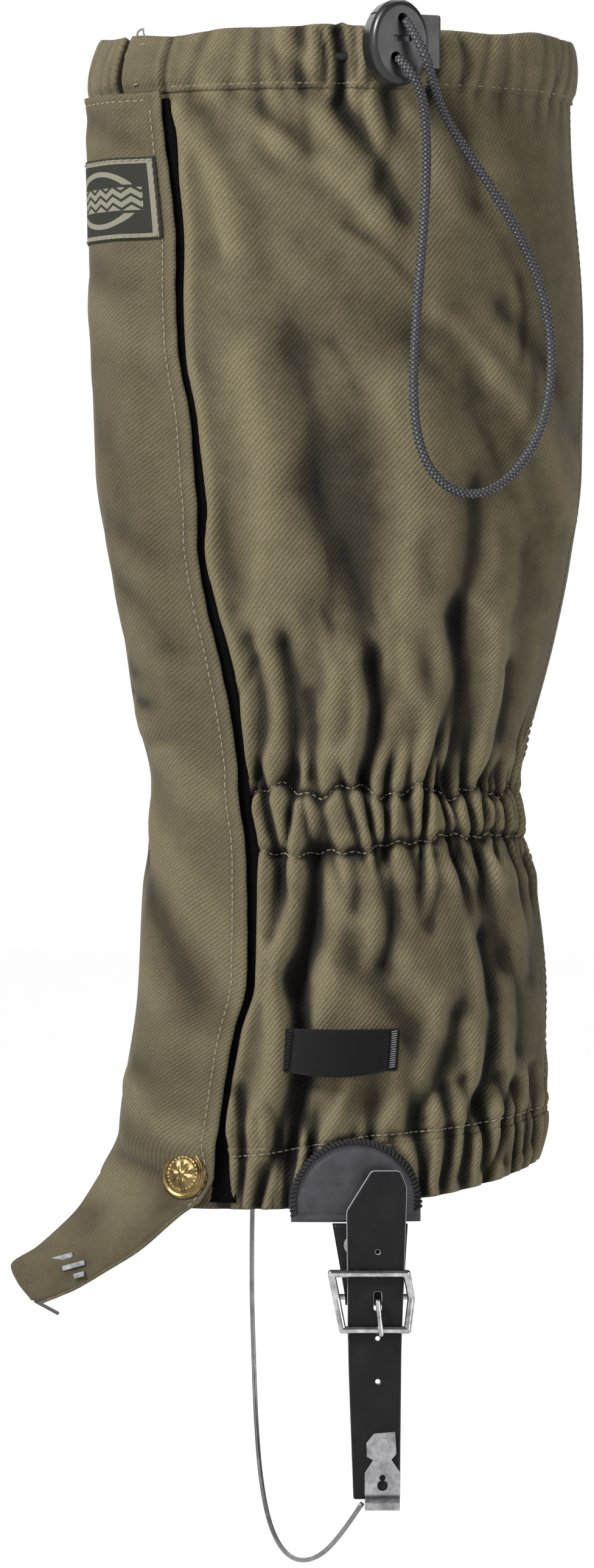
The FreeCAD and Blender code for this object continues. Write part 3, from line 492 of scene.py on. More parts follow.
# ---- meshes -------------------------------------------------------------------------------------------
def new_object(name, vertices, faces, material):
    """A smooth mesh object from millimetre points."""
    mesh = bpy.data.meshes.new(name)
    mesh.from_pydata((np.asarray(vertices, float) * MM).tolist(), [], [list(f) for f in faces])
    mesh.polygons.foreach_set("use_smooth", [True] * len(mesh.polygons))
    mesh.update()
    mesh.materials.append(material)
    piece = bpy.data.objects.new(name, mesh)
    bpy.context.scene.collection.objects.link(piece)
    return piece


def lay_uv(mesh, flat):
    """Give each corner the flat cloth position of its point, in metres."""
    layer = mesh.uv_layers.new(name="cloth")
    loops = np.zeros(len(mesh.loops), np.int32)
    mesh.loops.foreach_get("vertex_index", loops)
    layer.data.foreach_set("uv", (flat[loops] * MM).astype(np.float32).ravel())


def distances(line):
    """How far along the line each of its points lies."""
    return np.concatenate([[0.0], np.cumsum(np.linalg.norm(np.diff(line, axis=0), axis=1))])


def crossed(heights, places):
    """Every height with every place, as two grids."""
    return np.meshgrid(heights, places, indexing="ij")


def grid_normals(points):
    """Unit normals of a grid of points, from its neighbours."""
    along = np.gradient(points, axis=0)
    across = np.gradient(points, axis=1)
    normal = np.cross(across, along)
    length = np.linalg.norm(normal, axis=-1, keepdims=True)
    return normal / np.maximum(length, 1e-9)


def thick_grid(name, points, thick, material, uv, painted_shading=None, *, outwards):
    """A closed thin solid whose outer face is the grid; uv is in millimetres of cloth."""
    rows, columns = points.shape[:2]
    normal = grid_normals(points)
    if np.sum(normal * outwards) < 0:
        normal = -normal
    inside = points - normal * thick
    count = rows * columns
    vertices = np.concatenate([points.reshape(-1, 3), inside.reshape(-1, 3)])
    index = np.arange(count).reshape(rows, columns)
    a, b, c, d = index[:-1, :-1], index[:-1, 1:], index[1:, 1:], index[1:, :-1]
    top = np.stack([a, b, c, d], axis=-1).reshape(-1, 4)
    edge_normal = np.cross(points[0, 1] - points[0, 0], points[1, 0] - points[0, 0])
    if np.dot(edge_normal, normal[0, 0]) < 0:
        top = top[:, ::-1]
    bottom = top[:, ::-1] + count
    rim = np.concatenate([index[0, :], index[1:, -1], index[-1, -2::-1], index[-2:0:-1, 0]])
    after = np.roll(rim, -1)
    sides = np.stack([rim, rim + count, after + count, after], axis=-1)
    if np.dot(edge_normal, normal[0, 0]) < 0:
        sides = sides[:, ::-1]
    faces = np.concatenate([top, bottom, sides])
    piece = new_object(name, vertices, faces, material)
    lay_uv(piece.data, np.concatenate([uv.reshape(-1, 2)] * 2))
    # painted light and shade: this value, stored on the points, lightens and darkens the cloth's colour
    if painted_shading is not None:
        store = piece.data.attributes.new("painted_shading", "FLOAT", "POINT")
        store.data.foreach_set("value", np.concatenate([painted_shading.ravel(), painted_shading.ravel()]).astype(np.float32))
    return piece


def tube_mesh(name, line, radius, material, sides=14, relief=None):
    """A round tube along a line of points, closed at both ends; relief(u, v) changes its radius."""
    line = np.asarray(line, float)
    tangent = np.gradient(line, axis=0)
    tangent /= np.linalg.norm(tangent, axis=1, keepdims=True)
    side = np.cross(tangent[0], (0.3, 0.5, 0.81))
    side /= np.linalg.norm(side)
    frames = []
    for t in tangent:
        side = side - t * np.dot(side, t)
        side /= np.linalg.norm(side)
        frames.append((side, np.cross(t, side)))
    length = distances(line)
    turn = np.arange(sides) * 2.0 * math.pi / sides
    vertices = []
    uv = []
    for i, point in enumerate(line):
        grow = np.ones(sides) if relief is None else relief(length[i], turn)
        ring = np.outer(np.cos(turn) * grow, frames[i][0]) + np.outer(np.sin(turn) * grow, frames[i][1])
        vertices.append(point + ring * radius)
        uv += [(length[i], radius * t) for t in turn]
    vertices = np.concatenate(vertices)
    faces = []
    for i in range(len(line) - 1):
        for j in range(sides):
            k = (j + 1) % sides
            faces.append((i * sides + j, i * sides + k, (i + 1) * sides + k, (i + 1) * sides + j))
    faces.append(tuple(range(sides))[::-1])
    faces.append(tuple(range((len(line) - 1) * sides, len(line) * sides)))
    piece = new_object(name, vertices, faces, material)
    lay_uv(piece.data, np.array(uv))
    return piece


CAPSULE_RINGS = ((-1.0, 0.35), (-0.72, 0.9), (0.0, 1.0), (0.72, 0.9), (1.0, 0.35))


def capsules(name, starts, ends, radius, material, ups, sides=6):
    """Many short rounded threads as one mesh."""
    vertices = []
    faces = []
    turn = np.arange(sides) * 2.0 * math.pi / sides
    for n, (start, end) in enumerate(zip(np.asarray(starts, float), np.asarray(ends, float))):
        axis = end - start
        half = np.linalg.norm(axis) / 2.0
        axis = axis / (2.0 * half)
        up = np.asarray(ups[n], float)
        side = np.cross(axis, up)
        if np.linalg.norm(side) < 1e-6:
            side = np.cross(axis, (1.0, 0.0, 0.0))
        side /= np.linalg.norm(side)
        up = np.cross(side, axis)
        middle = (start + end) / 2.0
        first = len(vertices)
        for place, size in CAPSULE_RINGS:
            arch = (1.0 - place * place) * 0.5 * radius
            for t in turn:
                vertices.append(middle + axis * half * place + up * (arch + math.sin(t) * size * radius)
                                + side * math.cos(t) * size * radius)
        for i in range(len(CAPSULE_RINGS) - 1):
            for j in range(sides):
                k = (j + 1) % sides
                a = first + i * sides
                faces.append((a + j, a + k, a + sides + k, a + sides + j))
        faces.append(tuple(range(first, first + sides))[::-1])
        last = first + (len(CAPSULE_RINGS) - 1) * sides
        faces.append(tuple(range(last, last + sides)))
    return new_object(name, vertices, faces, material)


def stitch_line(name, surface, path, material, sizes, lift=0.1):
    """Topstitching along a path of (height, place) pairs on a surface."""
    path = np.asarray(path, float)
    points = surface(path[:, 0], path[:, 1], lift)
    above = surface(path[:, 0], path[:, 1], lift + 1.0)
    length = distances(points)
    starts = np.arange(0.4, length[-1] - sizes.stitch_pitch, sizes.stitch_pitch)
    ends = starts + sizes.stitch_pitch * 0.74

    def along(values, where):
        return np.stack([np.interp(where, length, values[:, i]) for i in range(3)], axis=-1)
    ups = along(above, starts) - along(points, starts)
    return capsules(name, along(points, starts), along(points, ends), sizes.stitch_radius, material, ups)


def nurbs_line(route):
    """Points along the smooth spline of a route, in millimetres."""
    curve = bpy.data.curves.new("route", "CURVE")
    curve.dimensions = "3D"
    curve.resolution_u = 24
    spline = curve.splines.new("NURBS")
    spline.points.add(len(route) - 1)
    for point, (x, y, z) in zip(spline.points, route):
        point.co = (x * MM, y * MM, z * MM, 1.0)
    spline.order_u = 3
    spline.use_endpoint_u = True
    holder = bpy.data.objects.new("route", curve)
    mesh = bpy.data.meshes.new_from_object(holder)
    line = np.array([v.co for v in mesh.vertices]) / MM
    bpy.data.objects.remove(holder)
    bpy.data.meshes.remove(mesh)
    bpy.data.curves.remove(curve)
    return line


def resample(line, step):
    """The same line with evenly spaced points."""
    length = distances(line)
    places = np.linspace(0.0, length[-1], max(2, int(length[-1] / step)))
    return np.stack([np.interp(places, length, line[:, i]) for i in range(3)], axis=-1)


def cut_plate(name, outline, holes, thick, bevel, material, edge_material):
    """A flat plate facing -Y, with rounded rims and real holes; outline and holes are (x, z) loops."""
    curve = bpy.data.curves.new(name, "CURVE")
    curve.dimensions = "2D"
    curve.fill_mode = "BOTH"
    curve.extrude = (thick / 2.0 - bevel) * MM
    curve.bevel_depth = bevel * MM
    curve.bevel_resolution = 3
    curve.offset = -bevel * MM
    for loop in [outline] + list(holes):
        spline = curve.splines.new("POLY")
        spline.points.add(len(loop) - 1)
        for point, (x, z) in zip(spline.points, loop):
            point.co = (x * MM, z * MM, 0.0, 1.0)
        spline.use_cyclic_u = True
    holder = bpy.data.objects.new(name, curve)
    mesh = bpy.data.meshes.new_from_object(holder)
    bpy.data.objects.remove(holder)
    co = np.array([v.co for v in mesh.vertices])
    turned = np.stack([co[:, 0], -co[:, 2], co[:, 1]], axis=-1)
    mesh.vertices.foreach_set("co", turned.astype(np.float32).ravel())
    mesh.materials.clear()
    mesh.materials.append(material)
    mesh.materials.append(edge_material)
    mesh.update()
    for face in mesh.polygons:
        face.material_index = 1 if abs(face.normal.y) < 0.8 else 0
    mesh.name = name
    piece = bpy.data.objects.new(name, mesh)
    bpy.context.scene.collection.objects.link(piece)
    return piece


def rounded(corners, radii, steps=6):
    """A loop of (x, z) corners with each corner rounded by its own radius."""
    loop = []
    count = len(corners)
    for i, radius in enumerate(radii):
        corner = np.array(corners[i], float)
        before = np.array(corners[i - 1], float) - corner
        after = np.array(corners[(i + 1) % count], float) - corner
        before /= np.linalg.norm(before)
        after /= np.linalg.norm(after)
        for t in np.linspace(0.0, 1.0, steps):
            loop.append(tuple(corner + before * radius * (1 - t) ** 2 + after * radius * t ** 2))
    return loop


def circle(x, z, radius, steps=20):
    return [(x + radius * math.cos(2 * math.pi * i / steps), z + radius * math.sin(2 * math.pi * i / steps))
            for i in range(steps)]


# ---- materials -----------------------------------------------------------------------------------------
class Shade:
    """A small helper that builds one node material."""

    def __init__(self, name, roughness=0.6, metallic=0.0, specular=0.5):
        self.material = bpy.data.materials.new(name)
        self.material.use_nodes = True
        self.tree = self.material.node_tree
        self.shader = self.tree.nodes["Principled BSDF"]
        self.shader.inputs["Roughness"].default_value = roughness
        self.shader.inputs["Metallic"].default_value = metallic
        self.shader.inputs["Specular IOR Level"].default_value = specular

    def node(self, kind, **settings):
        made = self.tree.nodes.new(kind)
        for key, value in settings.items():
            if key in made.inputs:
                made.inputs[key].default_value = value
            else:
                setattr(made, key, value)
        return made

    def link(self, out, into):
        self.tree.links.new(out, into)

    def place(self, scale=(1.0, 1.0, 1.0), turn=0.0, uv=True):
        """Coordinates in metres: along the cloth, or in the object's own space."""
        mapping = self.node("ShaderNodeMapping")
        mapping.inputs["Scale"].default_value = scale
        mapping.inputs["Rotation"].default_value = (0.0, 0.0, turn)
        if uv:
            source = self.node("ShaderNodeUVMap", uv_map="cloth").outputs["UV"]
        else:
            source = self.node("ShaderNodeTexCoord").outputs["Object"]
        self.link(source, mapping.inputs["Vector"])
        return mapping.outputs["Vector"]

    def noise(self, scale, detail=4.0, roughness=0.55, at=None):
        made = self.node("ShaderNodeTexNoise", Scale=scale, Detail=detail, Roughness=roughness)
        self.link(at if at is not None else self.place(uv=False), made.inputs["Vector"])
        return made.outputs["Fac"]

    def wave(self, scale, at, distortion=0.0):
        made = self.node("ShaderNodeTexWave", Scale=scale, Distortion=distortion)
        made.bands_direction = "X"
        made.inputs["Detail Scale"].default_value = 3.0
        self.link(at, made.inputs["Vector"])
        return made.outputs["Fac"]

    def math(self, kind, a, b=0.5, clamp=False):
        made = self.node("ShaderNodeMath", operation=kind, use_clamp=clamp)
        for i, value in enumerate((a, b)):
            if isinstance(value, (int, float)):
                made.inputs[i].default_value = value
            else:
                self.link(value, made.inputs[i])
        return made.outputs["Value"]

    def times(self, a, b, clamp=False):
        return self.math("MULTIPLY", a, b, clamp)

    def plus(self, a, b, clamp=False):
        return self.math("ADD", a, b, clamp)

    def near(self, value, middle, reach):
        """1 where the value lies within reach of the middle."""
        made = self.math("COMPARE", value, middle)
        made.node.inputs[2].default_value = reach
        return made

    def spread(self, value, low, high, to_low=0.0, to_high=1.0):
        made = self.node("ShaderNodeMapRange")
        made.inputs["From Min"].default_value = low
        made.inputs["From Max"].default_value = high
        made.inputs["To Min"].default_value = to_low
        made.inputs["To Max"].default_value = to_high
        self.link(value, made.inputs["Value"])
        return made.outputs["Result"]

    def blend(self, share, low, high):
        made = self.node("ShaderNodeMix", data_type="RGBA")
        for socket, value in ((made.inputs[6], low), (made.inputs[7], high)):
            if isinstance(value, (tuple, list)):
                socket.default_value = (*value[:3], 1.0)
            else:
                self.link(value, socket)
        self.link(share, made.inputs[0])
        return made.outputs[2]

    def colour(self, value):
        if isinstance(value, (tuple, list)):
            self.shader.inputs["Base Color"].default_value = (*value[:3], 1.0)
        else:
            self.link(value, self.shader.inputs["Base Color"])

    def rough(self, value):
        self.link(value, self.shader.inputs["Roughness"])

    def bump(self, height, strength, distance):
        made = self.node("ShaderNodeBump", Strength=strength)
        made.inputs["Distance"].default_value = distance
        self.link(height, made.inputs["Height"])
        chained = self.shader.inputs["Normal"].links
        if chained:
            self.link(chained[0].from_socket, made.inputs["Normal"])
        self.link(made.outputs["Normal"], self.shader.inputs["Normal"])


def tone(colour, factor):
    return tuple(min(1.0, c * factor) for c in colour)


def twill(name, cloth, shaded_cloth, turn=0.62):
    """Coated cotton twill: diagonal ribs, ridges lightened with painted light and folds darkened with painted
    shade.
    """
    shade = Shade(name, roughness=0.82, specular=0.2)
    shade.shader.inputs["Sheen Weight"].default_value = 0.05
    shade.shader.inputs["Sheen Roughness"].default_value = 0.45
    rib = shade.wave(1.0, shade.place((230.0, 230.0, 1.0), turn), 1.3)
    yarn = shade.wave(1.0, shade.place((560.0, 560.0, 1.0), turn + 1.35), 1.4)
    weave = shade.plus(shade.times(rib, 0.7), shade.times(yarn, 0.3))
    fleck = shade.noise(1900.0, 2.0)
    cloud = shade.noise(26.0, 5.0, 0.6)
    worn = shade.noise(140.0, 4.0, 0.6)
    # painted light and shade: ridges take the lit colour and creases the shaded colour, mixed with random
    # cloud and wear tone
    painted_shading = shade.node("ShaderNodeAttribute", attribute_name="painted_shading").outputs["Fac"]
    lit = shade.spread(painted_shading, -2.2, 2.0)
    lit = shade.plus(lit, shade.times(shade.math("SUBTRACT", cloud, 0.5), 0.9))
    lit = shade.plus(lit, shade.times(shade.math("SUBTRACT", worn, 0.5), 0.5), clamp=True)
    ground = shade.blend(lit, shaded_cloth, cloth)
    # painted shade: the deepest creases are darkened towards black
    crease_painted_shade = shade.spread(painted_shading, -5.0, -1.2, 0.12, 1.0)
    ribs = shade.spread(weave, 0.2, 0.8, 0.82, 1.14)
    grain = shade.times(ribs, shade.spread(fleck, 0.3, 0.7, 0.82, 1.18))
    grain = shade.times(grain, crease_painted_shade)
    tint = shade.node("ShaderNodeVectorMath", operation="SCALE")
    shade.link(ground, tint.inputs[0])
    shade.link(grain, tint.inputs["Scale"])
    shade.colour(tint.outputs["Vector"])
    shade.rough(shade.spread(cloud, 0.3, 0.7, 0.74, 0.9))
    shade.bump(weave, 0.6, 0.0004)
    shade.bump(worn, 0.35, 0.0008)
    return shade.material


def thread_material(name, colour):
    shade = Shade(name, roughness=0.7, specular=0.3)
    ply = shade.wave(1.0, shade.place((2600.0, 900.0, 2600.0), 0.6, uv=False), 0.5)
    shade.colour(shade.blend(ply, tone(colour, 0.62), tone(colour, 1.15)))
    shade.bump(ply, 0.4, 0.0001)
    return shade.material


def leather_material(name, colour, edge=False):
    """Smooth black harness leather, or its cut edge."""
    shade = Shade(name, roughness=0.42 if not edge else 0.75, specular=0.2)
    pores = shade.node("ShaderNodeTexVoronoi", Scale=1500.0)
    pores.feature = "DISTANCE_TO_EDGE"
    shade.link(shade.place(uv=False), pores.inputs["Vector"])
    grain = shade.spread(pores.outputs["Distance"], 0.0, 0.25)
    cloud = shade.noise(90.0, 5.0, 0.6)
    fibre = shade.noise(1200.0, 3.0, 0.7)
    bright = tone(colour, 2.1)
    if edge:
        shade.colour(shade.blend(fibre, tone(colour, 0.6), tone(colour, 1.25)))
        shade.bump(fibre, 0.5, 0.0003)
        return shade.material
    shade.colour(shade.blend(shade.spread(cloud, 0.35, 0.75), colour, bright))
    shade.rough(shade.spread(cloud, 0.3, 0.7, 0.34, 0.56))
    shade.bump(grain, 0.22, 0.00012)
    shade.bump(cloud, 0.25, 0.0008)
    return shade.material


def metal_material(name, colour, roughness, wear=0.3, dark=0.45, scratch=0.35):
    """Metal with fine scratches and duller patches."""
    shade = Shade(name, roughness=roughness, metallic=1.0)
    cloud = shade.noise(220.0, 5.0, 0.65)
    fine = shade.noise(1800.0, 3.0, 0.6)
    lines = shade.noise(1.0, 4.0, 0.7, shade.place((300.0, 300.0, 4200.0), 0.0, uv=False))
    shade.colour(shade.blend(shade.spread(cloud, 0.35, 0.35 + wear), tone(colour, dark), colour))
    shade.rough(shade.spread(lines, 0.3, 0.7, max(0.04, roughness - 0.08), roughness + 0.12))
    shade.bump(lines, scratch * 0.25, 0.00005)
    shade.bump(fine, 0.12, 0.00006)
    return shade.material


def plastic_material(name, colour, roughness=0.38):
    """Moulded nylon with a fine spark-eroded skin."""
    shade = Shade(name, roughness=roughness, specular=0.5)
    skin = shade.noise(2200.0, 3.0, 0.6)
    cloud = shade.noise(120.0, 4.0)
    shade.colour(shade.blend(cloud, tone(colour, 0.8), tone(colour, 1.35)))
    shade.rough(shade.spread(cloud, 0.3, 0.7, roughness - 0.05, roughness + 0.12))
    shade.bump(skin, 0.16, 0.0001)
    return shade.material


def webbing_material(name, colour, scale=1.0):
    """Flat woven tape with crosswise ribs."""
    shade = Shade(name, roughness=0.8, specular=0.15)
    shade.shader.inputs["Sheen Weight"].default_value = 0.08
    rib = shade.wave(1.0, shade.place((0.0, 250.0 * scale, 1.0), 0.0), 0.3)
    pick = shade.wave(1.0, shade.place((330.0 * scale, 0.0, 1.0), 0.0), 0.3)
    weave = shade.times(rib, shade.spread(pick, 0.0, 1.0, 0.55, 1.0))
    fleck = shade.spread(shade.noise(1500.0, 3.0, 0.7), 0.3, 0.7)
    shade.colour(shade.blend(shade.times(weave, fleck), tone(colour, 0.35), tone(colour, 7.0)))
    shade.bump(weave, 0.6, 0.0004)
    shade.bump(fleck, 0.5, 0.0003)
    return shade.material


def fuzz_material(name, colour):
    """Hook and loop: a matt mat of tiny threads."""
    shade = Shade(name, roughness=0.95, specular=0.05)
    loops = shade.noise(2400.0, 4.0, 0.8)
    patch = shade.noise(300.0, 3.0)
    shade.colour(shade.blend(loops, tone(colour, 0.4), tone(colour, 2.2)))
    shade.bump(loops, 0.9, 0.0005)
    shade.bump(patch, 0.3, 0.0006)
    return shade.material


def braid_material(name):
    """Black elastic cord with light flecks worked into its braid."""
    shade = Shade(name, roughness=0.66, specular=0.35)
    left = shade.wave(1.0, shade.place((230.0, 210.0, 1.0), 0.62))
    right = shade.wave(1.0, shade.place((230.0, 210.0, 1.0), -0.62))
    strands = shade.math("MAXIMUM", left, right)
    flecks = shade.times(shade.spread(left, 0.62, 0.8), shade.spread(right, 0.45, 0.75))
    dust = shade.noise(900.0, 3.0)
    base = shade.blend(strands, (0.004, 0.004, 0.005), (0.026, 0.026, 0.030))
    pale = shade.times(flecks, shade.spread(dust, 0.35, 0.6, 0.35, 1.0), clamp=True)
    shade.colour(shade.blend(pale, base, (0.17, 0.165, 0.18)))
    shade.bump(strands, 0.6, 0.0003)
    return shade.material


def label_material(name, ground, border):
    """Woven label: a double border and rows of plain chevrons."""
    shade = Shade(name, roughness=0.8, specular=0.25)
    parts = shade.node("ShaderNodeSeparateXYZ")
    shade.link(shade.place((1000.0, 1000.0, 1.0)), parts.inputs[0])
    u = parts.outputs["X"]
    v = parts.outputs["Y"]
    half = LABEL_SIZE[0] / 2.0
    tall = LABEL_SIZE[1] / 2.0
    du = shade.math("SUBTRACT", half, shade.math("ABSOLUTE", u))
    dv = shade.math("SUBTRACT", tall, shade.math("ABSOLUTE", v))
    near = shade.math("MINIMUM", du, dv)
    line = shade.near(near, 1.5, 0.75)
    wide = shade.math("DIVIDE", u, 10.6)
    high = shade.math("DIVIDE", v, 10.4)
    round_out = shade.math("SQRT", shade.plus(shade.math("POWER", shade.math("ABSOLUTE", wide), 2.0),
                                              shade.math("POWER", shade.math("ABSOLUTE", high), 2.0)))
    ring = shade.times(shade.near(round_out, 0.92, 0.09),
                      shade.math("GREATER_THAN", shade.math("ABSOLUTE", v), 5.2))
    band = shade.times(shade.math("LESS_THAN", shade.math("ABSOLUTE", v), 4.2),
                      shade.math("LESS_THAN", shade.math("ABSOLUTE", u), 11.4))
    chevron = shade.plus(v, shade.math("PINGPONG", u, 2.2))
    strokes = shade.near(shade.math("PINGPONG", chevron, 1.6), 0.5, 0.55)
    motif = shade.times(band, strokes)
    mark = shade.math("MAXIMUM", line, shade.math("MAXIMUM", ring, motif))
    warp = shade.wave(1.0, shade.place((1500.0, 0.0, 1.0)))
    weft = shade.wave(1.0, shade.place((0.0, 2100.0, 1.0)))
    weave = shade.times(warp, weft)
    mark = shade.times(mark, shade.spread(weave, 0.0, 0.7, 0.6, 1.0), clamp=True)
    shade.colour(shade.blend(mark, ground, border))
    shade.bump(weave, 0.4, 0.0003)
    return shade.material


SKIN = {}


def make_materials(colours):
    """Every finish the pieces use, made once."""
    cloth = tuple(colours.cloth)
    shaded_cloth = tuple(colours.cloth_in_painted_shade)
    leather = tuple(colours.leather)
    SKIN["twill"] = twill("olive_twill", cloth, shaded_cloth)
    SKIN["flap"] = twill("olive_twill_flap", tone(cloth, 0.82), tone(shaded_cloth, 1.2), turn=0.9)
    SKIN["thread"] = thread_material("beige_thread", tuple(colours.thread))
    # black thread for the patches' whip stitching, and painted shade on the keeper's front tack
    SKIN["dark_thread"] = thread_material("black_and_shaded_thread", (0.012, 0.012, 0.014))
    SKIN["grey_thread"] = thread_material("grey_thread", (0.16, 0.16, 0.16))
    SKIN["leather"] = leather_material("black_leather", leather)
    SKIN["patch"] = leather_material("charcoal_leather", tone(leather, 9.5))
    SKIN["leather_edge"] = leather_material("cut_leather_edge", (0.30, 0.30, 0.30), edge=True)
    SKIN["brass"] = metal_material("antique_brass", tuple(colours.brass), 0.36, 0.25, 0.32, 0.5)
    SKIN["chrome"] = metal_material("polished_chrome", (0.60, 0.60, 0.61), 0.16, 0.3, 0.45, 0.3)
    SKIN["steel"] = metal_material("plated_steel", (0.44, 0.44, 0.45), 0.30, 0.3, 0.45, 0.6)
    # painted shade: a darkened copy of the steel for the lace hook, which lies in shade
    SKIN["dull_steel"] = metal_material("shaded_steel", (0.16, 0.15, 0.14), 0.42, 0.3, 0.5, 0.6)
    SKIN["wire"] = metal_material("bare_steel_wire", (0.26, 0.26, 0.265), 0.4, 0.3, 0.7, 0.6)
    SKIN["zip_metal"] = metal_material("black_enamel", (0.06, 0.06, 0.062), 0.34, 0.3, 0.5, 0.4)
    SKIN["plastic"] = plastic_material("black_nylon", (0.0065, 0.0065, 0.0075), 0.3)
    SKIN["coil"] = plastic_material("zip_coil_nylon", (0.007, 0.007, 0.008), 0.3)
    SKIN["webbing"] = webbing_material("black_webbing", (0.0055, 0.0055, 0.006))
    SKIN["zip_tape"] = webbing_material("black_zip_tape", (0.006, 0.006, 0.007), 1.8)
    SKIN["elastic"] = webbing_material("knitted_elastic", (0.03, 0.028, 0.024), 0.8)
    SKIN["fuzz"] = fuzz_material("hook_and_loop", (0.0016, 0.0016, 0.0018))
    SKIN["cord"] = braid_material("braided_elastic_cord")
    SKIN["label"] = label_material("woven_label", (0.013, 0.014, 0.010), (0.24, 0.225, 0.17))


def settle(piece, body, slot, *nodes):
    """Ride on a body and stand for CAD nodes; the slot argument is not used."""
    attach(piece, body)
    if nodes:
        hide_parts(*nodes)
    return piece


def node_skin(name, material):
    """Give a carried-over CAD node its finish."""
    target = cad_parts[name]
    slots = target.data.materials
    if len(slots) == 0:
        slots.append(material)
    for i in range(len(slots)):
        slots[i] = material


def spans(low, high, cell):
    return np.linspace(low, high, max(3, int(round((high - low) / cell)) + 1))


def leg_grid(low, high, start, end, cell):
    """Heights and angles of an even grid on the leg."""
    heights = spans(low, high, cell)
    angles = spans(start, end, cell / 1.25)
    return crossed(heights, angles)


def leg_uv(height, angle):
    return np.stack([angle * 1.25, height], axis=-1)


def outwards_of(height, angle):
    return leg_point(height, angle, 1.0) - leg_point(height, angle, 0.0)


# ---- operators --------------------------------------------------------------------------------------------
class GaiterStage(bpy.types.Operator):
    """Make the camera, the lights and the pale floor"""
    bl_idname = "gaiter.stage"
    bl_label = "Stage"

    def execute(self, context):
        scene = context.scene
        camera = bpy.data.objects.new("camera", bpy.data.cameras.new("camera"))
        scene.collection.objects.link(camera)
        camera.location = (-0.0158, -2.2, 0.1544)
        camera.rotation_euler = (math.radians(90.0), 0.0, 0.0)
        camera.data.sensor_fit = "VERTICAL"
        camera.data.sensor_height = 36.0
        camera.data.lens = 36.0 * 2.15 / 0.5667
        camera.data.clip_end = 50.0
        scene.camera = camera
        world = bpy.data.worlds.new("studio")
        world.use_nodes = True
        tree = world.node_tree
        backing = tree.nodes["Background"]
        backing.inputs["Color"].default_value = (1.0, 1.0, 1.0, 1.0)
        parts = tree.nodes.new("ShaderNodeSeparateXYZ")
        tree.links.new(tree.nodes.new("ShaderNodeTexCoord").outputs["Generated"], parts.inputs[0])
        level = tree.nodes.new("ShaderNodeMath")
        level.operation = "ABSOLUTE"
        tree.links.new(parts.outputs["Z"], level.inputs[0])
        fade = tree.nodes.new("ShaderNodeMapRange")
        fade.inputs["From Min"].default_value = 0.18
        fade.inputs["From Max"].default_value = 0.36
        fade.inputs["To Min"].default_value = 1.0
        fade.inputs["To Max"].default_value = 0.14
        tree.links.new(level.outputs["Value"], fade.inputs["Value"])
        tree.links.new(fade.outputs["Result"], backing.inputs["Strength"])
        scene.world = world
        scene.view_settings.view_transform = "Standard"
        lamps = (("key", (-1.5, -1.3, 1.6), 0.7, 95.0), ("top", (0.2, 0.5, 1.9), 1.0, 12.0),
                 ("back", (-0.6, 1.8, 0.8), 1.4, 10.0), ("fill", (1.7, -1.3, 0.7), 1.1, 16.0))
        for name, place, size, power in lamps:
            light = bpy.data.lights.new(name, "AREA")
            light.energy = power
            light.size = size
            lamp = bpy.data.objects.new(name, light)
            lamp.location = place
            aim = Vector((-0.01, 0.0, 0.16)) - Vector(place)
            lamp.rotation_euler = aim.to_track_quat("-Z", "Y").to_euler()
            scene.collection.objects.link(lamp)
        self.floor()
        make_materials(scene.gaiter_colours)
        return {"FINISHED"}

    @staticmethod
    def floor():
        """A plain pale floor."""
        shade = Shade("pale_floor", roughness=0.9, specular=0.1)
        cloud = shade.noise(3.0, 2.0)
        shade.colour(shade.blend(cloud, (0.15, 0.15, 0.15), (0.17, 0.17, 0.17)))
        shade.shader.inputs["Emission Color"].default_value = (1.0, 1.0, 1.0, 1.0)
        shade.shader.inputs["Emission Strength"].default_value = 0.93
        corners = [(x * FLOOR_HALF, y * FLOOR_HALF, FLOOR_LEVEL)
                   for x, y in ((-1, -1), (1, -1), (1, 1), (-1, 1))]
        return new_object("floor", corners, [(0, 1, 2, 3)], shade.material)


class GaiterPanels(bpy.types.Operator):
    """Sew the outer and inner panels"""
    bl_idname = "gaiter.panels"
    bl_label = "Panels"

    def execute(self, context):
        sizes = context.scene.gaiter_sizes
        spread = (("outer_panel_cloth", "outer_panel", ZIP_BACK_EDGE, BACK_SEAM),
                  ("inner_panel_cloth", "inner_panel", BACK_SEAM, ZIP_FRONT_EDGE))
        for name, node, start, end in spread:
            height, angle = leg_grid(LOW_SEAM - 1.5, TOP_SEAM + 1.5, start, end, sizes.cell)
            field = displace(height, angle)
            points = leg_point(height, angle, field)
            piece = thick_grid(name, points, CLOTH_THICK, SKIN["twill"], leg_uv(height, angle),
                               shadow_of(field, height), outwards=outwards_of(height, angle))
            settle(piece, "gaiter", "twill", node)
        return {"FINISHED"}


